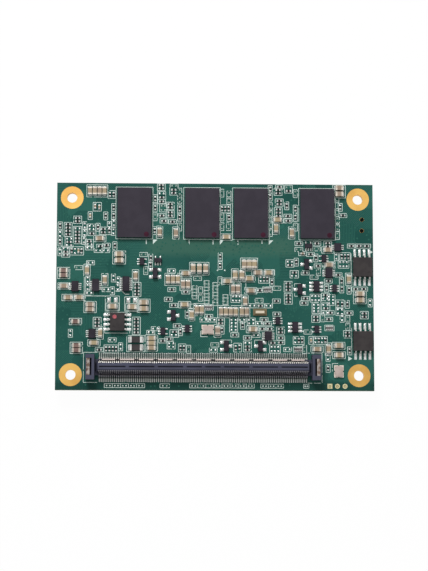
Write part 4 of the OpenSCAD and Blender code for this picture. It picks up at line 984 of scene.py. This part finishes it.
# %% Ink line tree
ink_tree, ink_in, ink_out = new_tree(
    "ink_lines",
    "GeometryNodeTree",
    {
        "Geometry": "geometry",
        "Line width": "float",
        "Ink thickness": "float",
        "Corner radius": "float",
        "Ink": "material",
    },
    {"Geometry": "geometry"},
)
ink_curves = add(ink_tree, "GeometryNodeMeshToCurve", {"Mesh": ink_in.outputs["Geometry"]})
ink_rounded = add(
    ink_tree,
    "GeometryNodeFilletCurve",
    {
        "Curve": ink_curves.outputs[0],
        "Radius": ink_in.outputs["Corner radius"],
        "Limit Radius": True,
        "Count": 2,
    },
    mode="POLY",
)
ink_upright = add(ink_tree, "GeometryNodeSetCurveNormal", {"Curve": ink_rounded.outputs[0]}, mode="Z_UP")
ink_strip = add(
    ink_tree,
    "GeometryNodeCurvePrimitiveQuadrilateral",
    {"Width": ink_in.outputs["Line width"], "Height": ink_in.outputs["Ink thickness"]},
)
ink_swept = add(
    ink_tree,
    "GeometryNodeCurveToMesh",
    {"Curve": ink_upright.outputs[0], "Profile Curve": ink_strip.outputs[0], "Fill Caps": True},
)
dress(ink_tree, ink_swept.outputs[0], ink_in.outputs["Ink"], ink_out)
print("ink tree nodes:", len(ink_tree.nodes))

# %% [markdown]
# Most outlines follow from the parts themselves. Parts that stand side by side in a row share one frame,
# and a place with no part has its frame all the same.

# %% Frames round rows of parts
INK_SIDE_MARGIN = 0.3 * MM
INK_END_MARGIN = 0.36 * MM
ROW_SLACK = 0.25 * MM
ROW_GAP = 0.6 * MM
BARE_HALF_WIDTH = 0.25 * MM
BARE_HALF_LENGTH = 0.5 * MM
Outline = namedtuple("Outline", "points closed")
Group = namedtuple("Group", "low high along reach")


def frame_of(low, high, margin_x, margin_y):
    """A closed rectangle round a box."""
    left, right = low[0] - margin_x, high[0] + margin_x
    bottom, top = low[1] - margin_y, high[1] + margin_y
    return Outline([(left, bottom), (right, bottom), (right, top), (left, top)], True)


def bare_parts():
    """Places with no part, as boxes like those of the parts."""
    for u, v, along in places_in(SOLDERED_ROWS + EMPTY_ROWS):
        half = np.array([BARE_HALF_WIDTH, BARE_HALF_WIDTH, 0.0])
        half[along] = BARE_HALF_LENGTH
        middle = np.array([*at(u, v), TOP_FACE])
        yield Part(middle - half, middle + half, 1, along)


def part_groups(members):
    """One box for each row of parts that stand side by side."""
    groups = []
    for part in sorted(members, key=lambda p: tuple(p.low[:2])):
        across = 1 - part.along
        for i, group in enumerate(groups):
            in_line = abs(group.low[part.along] - part.low[part.along]) < ROW_SLACK
            gap = max(part.low[across] - group.high[across], group.low[across] - part.high[across])
            if group.along == part.along and in_line and gap < ROW_GAP:
                low, high = np.minimum(group.low, part.low), np.maximum(group.high, part.high)
                groups[i] = group._replace(low=low, high=high)
                break
        else:
            groups.append(Group(part.low, part.high, part.along, slope_reach(part)))
    return groups


def part_frames(members):
    """An outline round each row of parts, clear of its solder."""
    for group in part_groups(members):
        margins = [INK_SIDE_MARGIN, INK_SIDE_MARGIN]
        margins[group.along] = group.reach + INK_END_MARGIN
        yield frame_of(group.low, group.high, *margins)


top_outlines = list(part_frames([*(p for p in parts if p.side > 0), *bare_parts()]))
under_outlines = list(part_frames([p for p in parts if p.side < 0]))
print("rows of parts on top:", len(top_outlines), "and underneath:", len(under_outlines))

# %% [markdown]
# A chip's frame reaches out to the tips of its leads. Each land pair of a ladder has a frame of its own.

# %% Frames round chips and ladders
CHIP_MARGIN = 0.25 * MM
LEAD_REACH = 1.6 * MM
LADDER_HALF = (0.68 * MM, 0.43 * MM)


def chip_frames(side, body_nodes, lead_node):
    """An outline round each chip of some nodes, out to the tips of the leads that stand at it."""
    leads = [points for points in solids_of(lead_node) if side_of(points) == side]
    for node in body_nodes:
        for body in solids_of(node):
            low, high = body.min(axis=0), body.max(axis=0)
            for lead in leads:
                middle = lead.mean(axis=0)
                near = np.all((middle > low - LEAD_REACH) & (middle < high + LEAD_REACH))
                below = lead.min(axis=0) <= high + FOOT_TOUCH
                touches = np.all(below & (lead.max(axis=0) >= low - FOOT_TOUCH))
                if near and touches:
                    low = np.minimum(low, lead.min(axis=0))
                    high = np.maximum(high, lead.max(axis=0))
            if side_of(body) == side:
                yield frame_of(low, high, CHIP_MARGIN, CHIP_MARGIN)


def ladder_frames():
    """A frame of its own round each land pair of the ladders."""
    for u, v, _ in places_in(LADDERS):
        yield frame_of(at(u, v), at(u, v), *LADDER_HALF)


top_outlines += [*ladder_frames(), *chip_frames(1, ["resistor_arrays"], "resistor_array_end_caps")]
under_outlines += [
    *chip_frames(-1, ["network_chip", "power_controller_chip", "power_transistors"], "flat_chip_pads"),
    *chip_frames(-1, ["power_inductors"], "inductor_terminals"),
    *chip_frames(-1, ["bulk_capacitors"], "bulk_capacitor_terminals"),
]
print("outlines on top:", len(top_outlines), "and underneath:", len(under_outlines))

# %% [markdown]
# The rest is drawn one by one from the board's grid: the frames of the memory chips with their ticks, the
# brackets of the connector, lines beside the chips, two frames with pointed ends, and long boxes that are
# split into cells along the lower edge.

# %% Outlines drawn on the grid
MEMORY_MARGIN = (0.4 * MM, 0.3 * MM)
MEMORY_BOTTOM = 39.85
TICKS = [23.7, 35.05, 41.4, 48.0, 54.4]
TICK_LOW = 38.7
TICK_HALF = 0.06
POINTED = [(2.1, 27.4), (72.2, 33.4)]
HEXAGON = [(-1.7, 0), (-1.1, -0.75), (1.1, -0.75), (1.7, 0), (1.1, 0.75), (-1.1, 0.75)]
EDGE_BOXES = [(12.9, 23.5), (27.5, 30.0), (35.3, 52.3), (54.0, 60.0), (65.3, 66.7)]
EDGE_LOW = 0.65
EDGE_HIGH = 1.7
EDGE_CELL = 2.2
OPEN_LINES = [
    [(11, 2.0), (7.4, 2.0), (7.4, 9.9), (11, 9.9)],
    [(66.4, 2.0), (70.2, 2.0), (70.2, 9.9), (66.4, 9.9)],
    [(78.1, 29.2), (78.1, 36.5)],
    [(78.1, 9.4), (78.1, 16.8)],
    [(38.15, 15.7), (38.15, 14.15), (40, 14.15)],
    [(7.4, 30.2), (7.4, 24.95)],
    [(7.4, 23.5), (7.4, 24.8), (12.9, 24.8)],
    [(15.7, 28.4), (15.7, 26.2), (17.3, 26.2), (18.2, 25.3), (19.3, 25.3)],
    [(57, 31.9), (57.6, 31.9), (57.6, 29.9)],
    [(48.1, 32), (48.1, 29)],
    [(48.15, 22), (48.15, 19.3)],
    [(50.1, 28.4), (50.1, 26)],
    [(43.2, 13.3), (46.3, 13.3), (46.3, 12.5)],
    [(52.4, 12), (52.4, 13.3), (55.3, 13.3)],
    [(53.2, 15.85), (57.6, 15.85)],
    [(63, 27.6), (63, 28.35), (64.6, 28.35)],
    [(63, 25.8), (63, 25), (63.8, 25)],
    [(72.9, 5.1), (72.9, 7.2), (74.4, 7.2)],
]
DRAWN_FRAMES = [((12.9, 15.0), (19.5, 20.5)), ((13.0, 20.85), (16.7, 24.8)), ((18.1, 20.75), (21.6, 24.6))]


def grid_line(closed, *places):
    """An outline through places on the board's grid."""
    return Outline([at(u, v) for u, v in places], closed)


def grid_frame(low, high):
    """A closed rectangle between two places on the board's grid."""
    return frame_of(at(*low), at(*high), 0, 0)


def cells_in(left, right):
    """How many cells a box along the lower edge is split into."""
    return max(1, round((right - left) / EDGE_CELL))


top_outlines += [frame_of(*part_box(chip), *MEMORY_MARGIN) for chip in MEMORY_CHIPS]
for tick in TICKS:
    for u in (tick - TICK_HALF, tick + TICK_HALF):
        top_outlines.append(grid_line(False, (u, TICK_LOW), (u, MEMORY_BOTTOM)))
for u, v in POINTED:
    top_outlines.append(grid_line(True, *[(u + du, v + dv) for du, dv in HEXAGON]))
for left, right in EDGE_BOXES:
    top_outlines.append(grid_frame((left, EDGE_LOW), (right, EDGE_HIGH)))
    for i in range(1, cells_in(left, right)):
        tick = left + i * (right - left) / cells_in(left, right)
        top_outlines.append(grid_line(False, (tick, EDGE_LOW), (tick, EDGE_HIGH)))
top_outlines += [grid_line(False, *places) for places in OPEN_LINES]
top_outlines += [grid_frame(low, high) for low, high in DRAWN_FRAMES]
print("outlines on top with those drawn by hand:", len(top_outlines))

# %% [markdown]
# The outlines of a face become the edges of one mesh, cut back where they would hang over the board's edge,
# and the tree prints them.

# %% Print the outlines
INK_HEIGHT = 0.02 * MM
INK_STEP = 0.003 * MM
INK_CLEAR = 0.1 * MM
INK_CELL = 0.88 * MM
INK_WIDTH = 0.13 * MM
INK_CORNER = 0.08 * MM
GRID_SIZE = (84, 55)


def outline_mesh(name, outlines, side):
    """The edges of the outlines as a mesh on one face; every other cell of the board lies a hair higher."""
    points = []
    edges = []
    lowest = np.array(at(0, 0)) + INK_CLEAR
    highest = np.array(at(*GRID_SIZE)) - INK_CLEAR
    for outline in outlines:
        x, y = np.mean(outline.points, axis=0)
        level = (math.floor(x / INK_CELL) + math.floor(y / INK_CELL)) % 2
        z = face_of(side) + side * (INK_HEIGHT / 4 + level * INK_STEP)
        first = len(points)
        points += [(px, py, z) for px, py in np.clip(outline.points, lowest, highest)]
        last = len(points) - 1
        edges += [(i, i + 1) for i in range(first, last)]
        if outline.closed:
            edges.append((last, first))
    mesh = bpy.data.meshes.new(name)
    mesh.from_pydata(points, edges, [])
    return mesh


ink_values = {
    "Line width": INK_WIDTH,
    "Ink thickness": INK_HEIGHT,
    "Corner radius": INK_CORNER,
    "Ink": ink.material,
}
grow("printed_outlines_top", outline_mesh("outlines_top", top_outlines, 1), ink_tree, ink_values)
grow("printed_outlines_underside", outline_mesh("outlines_under", under_outlines, -1), ink_tree, ink_values)

# %% [markdown]
# ## Marks and dots
# Small filled marks say which way a chip is turned: white triangles beside the memory chips, a dark dot
# on each of them, and a dot of paint on the chip that was programmed by hand. All are flat prisms with
# a number of sides, so one tree makes them.

# %% Mark tree
MARK_THICKNESS = 0.02 * MM
mark_tree, mark_in, mark_out = new_tree(
    "flat_marks",
    "GeometryNodeTree",
    {"Geometry": "geometry", "Sides": "int", "Paint": "material"},
    {"Geometry": "geometry"},
)
mark_disc = add(
    mark_tree,
    "GeometryNodeMeshCylinder",
    {"Vertices": mark_in.outputs["Sides"], "Radius": 1.0, "Depth": 1.0},
)
stand_at_points(mark_tree, mark_in, mark_disc.outputs["Mesh"], "Paint", mark_out)


def marks(name, places, radius, made, sides=24, thickness=MARK_THICKNESS, turn=0.0, stretch=1.0):
    """Flat marks at scene places; stretch widens them across the direction of their first corner."""
    sizes = [(radius, radius * stretch, thickness)] * len(places)
    turns = [(0.0, 0.0, turn)] * len(places)
    values = {"Sides": sides, "Paint": made.material}
    grow(name, point_mesh(name, places, sizes, turns), mark_tree, values)


print("mark tree nodes:", len(mark_tree.nodes))

# %% [markdown]
# Marks on the board are placed on its grid. A dot on a chip is placed from the chip's own box, so that it
# lies on the chip's upper face.

# %% Marks on the board and the chips
CORNER_TRIANGLES = [(25.85, 39.5), (43.6, 39.5), (56.6, 39.5)]
CORNER_RADIUS = 0.57 * MM
TOP_LEFT = math.radians(135)
RIGHT_ANGLE = math.sqrt(3)
ARROWS = [(77.5, 8.5), (83.2, 36.9)]
ARROW_RADIUS = 0.7 * MM
WHITE_DOTS = [(65.2, 15.7), (42.6, 31.8), (44.5, 31.8)]
EDGE_DOTS = (0.3, 0.7)
DOT_RADIUS = 0.2 * MM
MEMORY_DOT = (3.2 * MM, -5.82 * MM)
MEMORY_DOT_RADIUS = 0.66 * MM
PAINT_DOT = (15.5, 19.2)
PAINT_DOT_RADIUS = 0.54 * MM
PAINT_THICKNESS = 0.06 * MM
corner_places = on_face(CORNER_TRIANGLES)
marks("pin_one_corners", corner_places, CORNER_RADIUS, ink, sides=3, turn=TOP_LEFT, stretch=RIGHT_ANGLE)
marks("pin_one_arrows", on_face(ARROWS), ARROW_RADIUS, ink, sides=3)
dots = list(WHITE_DOTS)
for left, right in EDGE_BOXES:
    width = (right - left) / cells_in(left, right)
    for i in range(cells_in(left, right)):
        dots += [(left + (i + share) * width, (EDGE_LOW + EDGE_HIGH) / 2) for share in EDGE_DOTS]
marks("printed_dots", on_face(dots), DOT_RADIUS, ink, sides=16)
memory_dots = []
for chip in MEMORY_CHIPS:
    low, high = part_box(chip)
    middle = (low + high) / 2
    memory_dots.append((middle.x + MEMORY_DOT[0], middle.y + MEMORY_DOT[1], high.z))
marks("memory_dots", memory_dots, MEMORY_DOT_RADIUS, red_ink)
paint_place = (*at(*PAINT_DOT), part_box("controller_chip")[1].z)
marks("controller_paint_dot", [paint_place], PAINT_DOT_RADIUS, paint, thickness=PAINT_THICKNESS)

# %% [markdown]
# Two kinds of small mark more: dark discs of painted shade at both ends of each small plated hole make it
# look black from above, and each test land has a duller ring at its middle.

# %% Shaded holes and ring marks
SMALL_HOLES = [(81.05, 45.6), (81.0, 42.6)]
HOLE_SIDES = 20
UNDER_SHADE_RADIUS = 0.55 * MM
UNDER_SHADE_THICKNESS = 0.04 * MM
TOP_SHADE_RADIUS = 0.53 * MM
TOP_SHADE_THICKNESS = 0.14 * MM
TEST_LANDS = [(72.25, 1.2), (74.25, 1.2), (76.25, 1.2)]
RING_RADIUS = 0.34 * MM
RING_SIDES = 20
CENTRE_RADIUS = 0.18 * MM
CENTRE_SIDES = 16
CENTRE_THICKNESS = 0.04 * MM
olive_tin = finish("dull_tin", (150, 136, 92), (132, 118, 80), (0.45, 0.6), 1.0, 0.0006)
# Dark discs of painted shade at both ends of each small hole
marks("small_hole_shade_under", on_face(SMALL_HOLES, -1), UNDER_SHADE_RADIUS, painted_hole_shade, HOLE_SIDES, UNDER_SHADE_THICKNESS)
marks("small_hole_shade_top", on_face(SMALL_HOLES), TOP_SHADE_RADIUS, painted_hole_shade, HOLE_SIDES, TOP_SHADE_THICKNESS)
marks("test_land_rings", on_face(TEST_LANDS), RING_RADIUS, olive_tin, RING_SIDES)
marks("test_land_centres", on_face(TEST_LANDS), CENTRE_RADIUS, land_tin, CENTRE_SIDES, CENTRE_THICKNESS)

# %% [markdown]
# ## Covered vias
# A via carries a trace from one layer to another. Under the lacquer it shows as a small round bump.
# Places are drawn at random with a fixed seed, and those that fall on a part or near a hole are left.

# %% Vias
VIA_SEED = 11
VIA_TRIES = 2600
VIA_RADIUS = 0.24 * MM
VIA_HEIGHT = 0.03 * MM
VIA_CLEAR = 0.5 * MM
VIA_GAP = 3 * VIA_RADIUS
VIA_EDGE = 1
VIA_SIDES = 12
via_green = finish("covered_via", (42, 95, 83), (34, 86, 75), (0.28, 0.42), 0.0, 0.01, specular=0.12)
KEEP_OUT_NODES = [
    "plated_holes", "test_lands", "connector_housing", "memory_carriers", "flash_chip_upper",
    "flash_chip_lower", "controller_chip", "driver_chips", "transistors", "regulator_chips", "logic_chips",
    "crystal_bases", "clock_crystal_base", "resistor_arrays", "processor_carrier", "hub_carrier",
    "network_chip", "power_controller_chip", "power_transistors", "power_inductors", "bulk_capacitors",
]


def keep_out(side):
    """Boxes on one face that a via stays clear of."""
    boxes = [(p.low[:2], p.high[:2]) for p in parts if p.side == side]
    for name in KEEP_OUT_NODES:
        for points in solids_of(name):
            if name == "plated_holes" or side_of(points) == side:
                boxes.append((points.min(axis=0)[:2], points.max(axis=0)[:2]))
    lows = np.array([low for low, high in boxes]) - VIA_CLEAR
    highs = np.array([high for low, high in boxes]) + VIA_CLEAR
    return lows, highs


def via_places(side):
    """Places for vias on one face, clear of the parts and of each other."""
    draw = random.Random(VIA_SEED + side)
    lows, highs = keep_out(side)
    taken = []
    for _ in range(VIA_TRIES):
        u, v = (draw.uniform(VIA_EDGE, length - VIA_EDGE) for length in GRID_SIZE)
        place = np.array(at(u, v))
        if np.any(np.all((place > lows) & (place < highs), axis=1)):
            continue
        if taken and np.min(np.linalg.norm(np.array(taken) - place, axis=1)) < VIA_GAP:
            continue
        taken.append(place)
    return [(x, y, face_of(side)) for x, y in taken]


for side, name in ((1, "vias_top"), (-1, "vias_underside")):
    marks(name, via_places(side), VIA_RADIUS, via_green, VIA_SIDES, 2 * VIA_HEIGHT)

# %% [markdown]
# ## Floor and light
# The object lies on a pale floor under soft light from above and a little from the far side. Where the
# camera looks straight at the floor or past it, it sees plain white, with a trace of the shadow left.

# %% Floor
FLOOR_SIZE = 1.5
FLOOR_GREY = (0.9, 0.9, 0.9, 1)
WHITE_SHARE = 0.97
floor_mesh = bpy.data.meshes.new("floor")
half_floor = FLOOR_SIZE / 2
floor_z = cad_box[0][2]
floor_signs = [(-1, -1), (1, -1), (1, 1), (-1, 1)]
floor_corners = [(x * half_floor, y * half_floor, floor_z) for x, y in floor_signs]
floor_mesh.from_pydata(floor_corners, [], [(0, 1, 2, 3)])
floor = bpy.data.objects.new("floor", floor_mesh)
bpy.context.scene.collection.objects.link(floor)
floor_paint = bpy.data.materials.new("pale_floor")
floor_paint.use_nodes = True
floor_tree = floor_paint.node_tree
floor_shader = floor_tree.nodes["Principled BSDF"]
floor_shader.inputs["Base Color"].default_value = FLOOR_GREY
floor_shader.inputs["Roughness"].default_value = 0.9
light_path = add(floor_tree, "ShaderNodeLightPath")
seen = calc(floor_tree, "MAXIMUM", light_path.outputs["Is Camera Ray"], light_path.outputs["Is Glossy Ray"])
white = add(floor_tree, "ShaderNodeEmission", {"Color": (1, 1, 1, 1), "Strength": 1.0})
floor_mix = add(
    floor_tree,
    "ShaderNodeMixShader",
    {
        "Fac": calc(floor_tree, "MULTIPLY", seen, WHITE_SHARE),
        1: floor_shader.outputs[0],
        2: white.outputs[0],
    },
)
floor_tree.links.new(floor_mix.outputs[0], floor_tree.nodes["Material Output"].inputs["Surface"])
floor_mesh.materials.append(floor_paint)
print("floor at", round(floor_z / MM, 2), "mm")

# %% [markdown]
# The sky is brighter overhead than at the sides. A small strong lamp gives the shadows their edge, and a
# wide weak one fills them.

# %% Light
SKY_LOW = 0.12
SKY_HIGH = 0.7
world = bpy.data.worlds.new("studio")
bpy.context.scene.world = world
world.use_nodes = True
sky_tree = world.node_tree
background = sky_tree.nodes["Background"]
sky_place = add(sky_tree, "ShaderNodeTexCoord").outputs["Generated"]
sky_up = add(sky_tree, "ShaderNodeSeparateXYZ", {"Vector": sky_place}).outputs["Z"]
sky_ramp = ramp(sky_tree, sky_up, 0.0, 1.0, SKY_LOW, SKY_HIGH)
sky_seen = add(sky_tree, "ShaderNodeLightPath").outputs["Is Camera Ray"]
sky_light = calc(sky_tree, "MAXIMUM", sky_ramp, sky_seen)
sky_tree.links.new(sky_light, background.inputs["Strength"])
background.inputs["Color"].default_value = (1, 1, 1, 1)


def soft_light(name, place, aim, size, power):
    """A square area lamp at a place, turned to look at a point."""
    lamp = bpy.data.lights.new(name, "AREA")
    lamp.size = size
    lamp.energy = power
    holder = bpy.data.objects.new(name, lamp)
    bpy.context.scene.collection.objects.link(holder)
    holder.location = place
    direction = np.array(aim) - np.array(place)
    yaw = math.atan2(direction[1], direction[0]) - math.pi / 2
    pitch = math.atan2(math.hypot(direction[0], direction[1]), -direction[2])
    holder.rotation_euler = (pitch, 0.0, yaw)


soft_light("key_light", place=(-0.14, 0.42, 0.45), aim=(0, 0, 0), size=0.2, power=3.1)
soft_light("fill_light", place=(0.3, -0.25, 0.45), aim=(0, 0, 0), size=0.4, power=0.15)
print("lights:", [o.name for o in bpy.context.scene.objects if o.type == "LIGHT"])

# %% [markdown]
# ## Camera
# The photograph looks almost straight down from a little under half a metre, leaning a few degrees to
# the near edge and to the left. The lens is given for a frame 36 mm high.

# %% Camera
CAMERA_DISTANCE = 0.45
LEAN_LEFT = math.radians(2.05)
LEAN_NEAR = math.radians(6.53)
ROLL = math.radians(0.08)
AIM = (-0.34 * MM, 0.24 * MM, 0.0)
FRAME_HEIGHT = 36.0
LENS = 107.26
camera_data = bpy.data.cameras.new("camera")
camera_data.sensor_fit = "VERTICAL"
camera_data.sensor_height = FRAME_HEIGHT
camera_data.lens = LENS
camera = bpy.data.objects.new("camera", camera_data)
bpy.context.scene.collection.objects.link(camera)
bpy.context.scene.camera = camera
away = np.array([-math.sin(LEAN_LEFT), -math.sin(LEAN_NEAR), 0.0])
away[2] = math.sqrt(1 - away @ away)
camera.location = np.array(AIM) + CAMERA_DISTANCE * away
right = np.cross(-away, (0.0, 1.0, 0.0))
right /= np.linalg.norm(right)
upward = np.cross(right, -away)
turned_right = math.cos(ROLL) * right + math.sin(ROLL) * upward
turned_up = math.cos(ROLL) * upward - math.sin(ROLL) * right
camera.rotation_euler = Matrix((turned_right, turned_up, away)).transposed().to_euler()
bpy.context.scene.view_settings.view_transform = "Standard"
print("camera at", [round(x, 3) for x in camera.location])
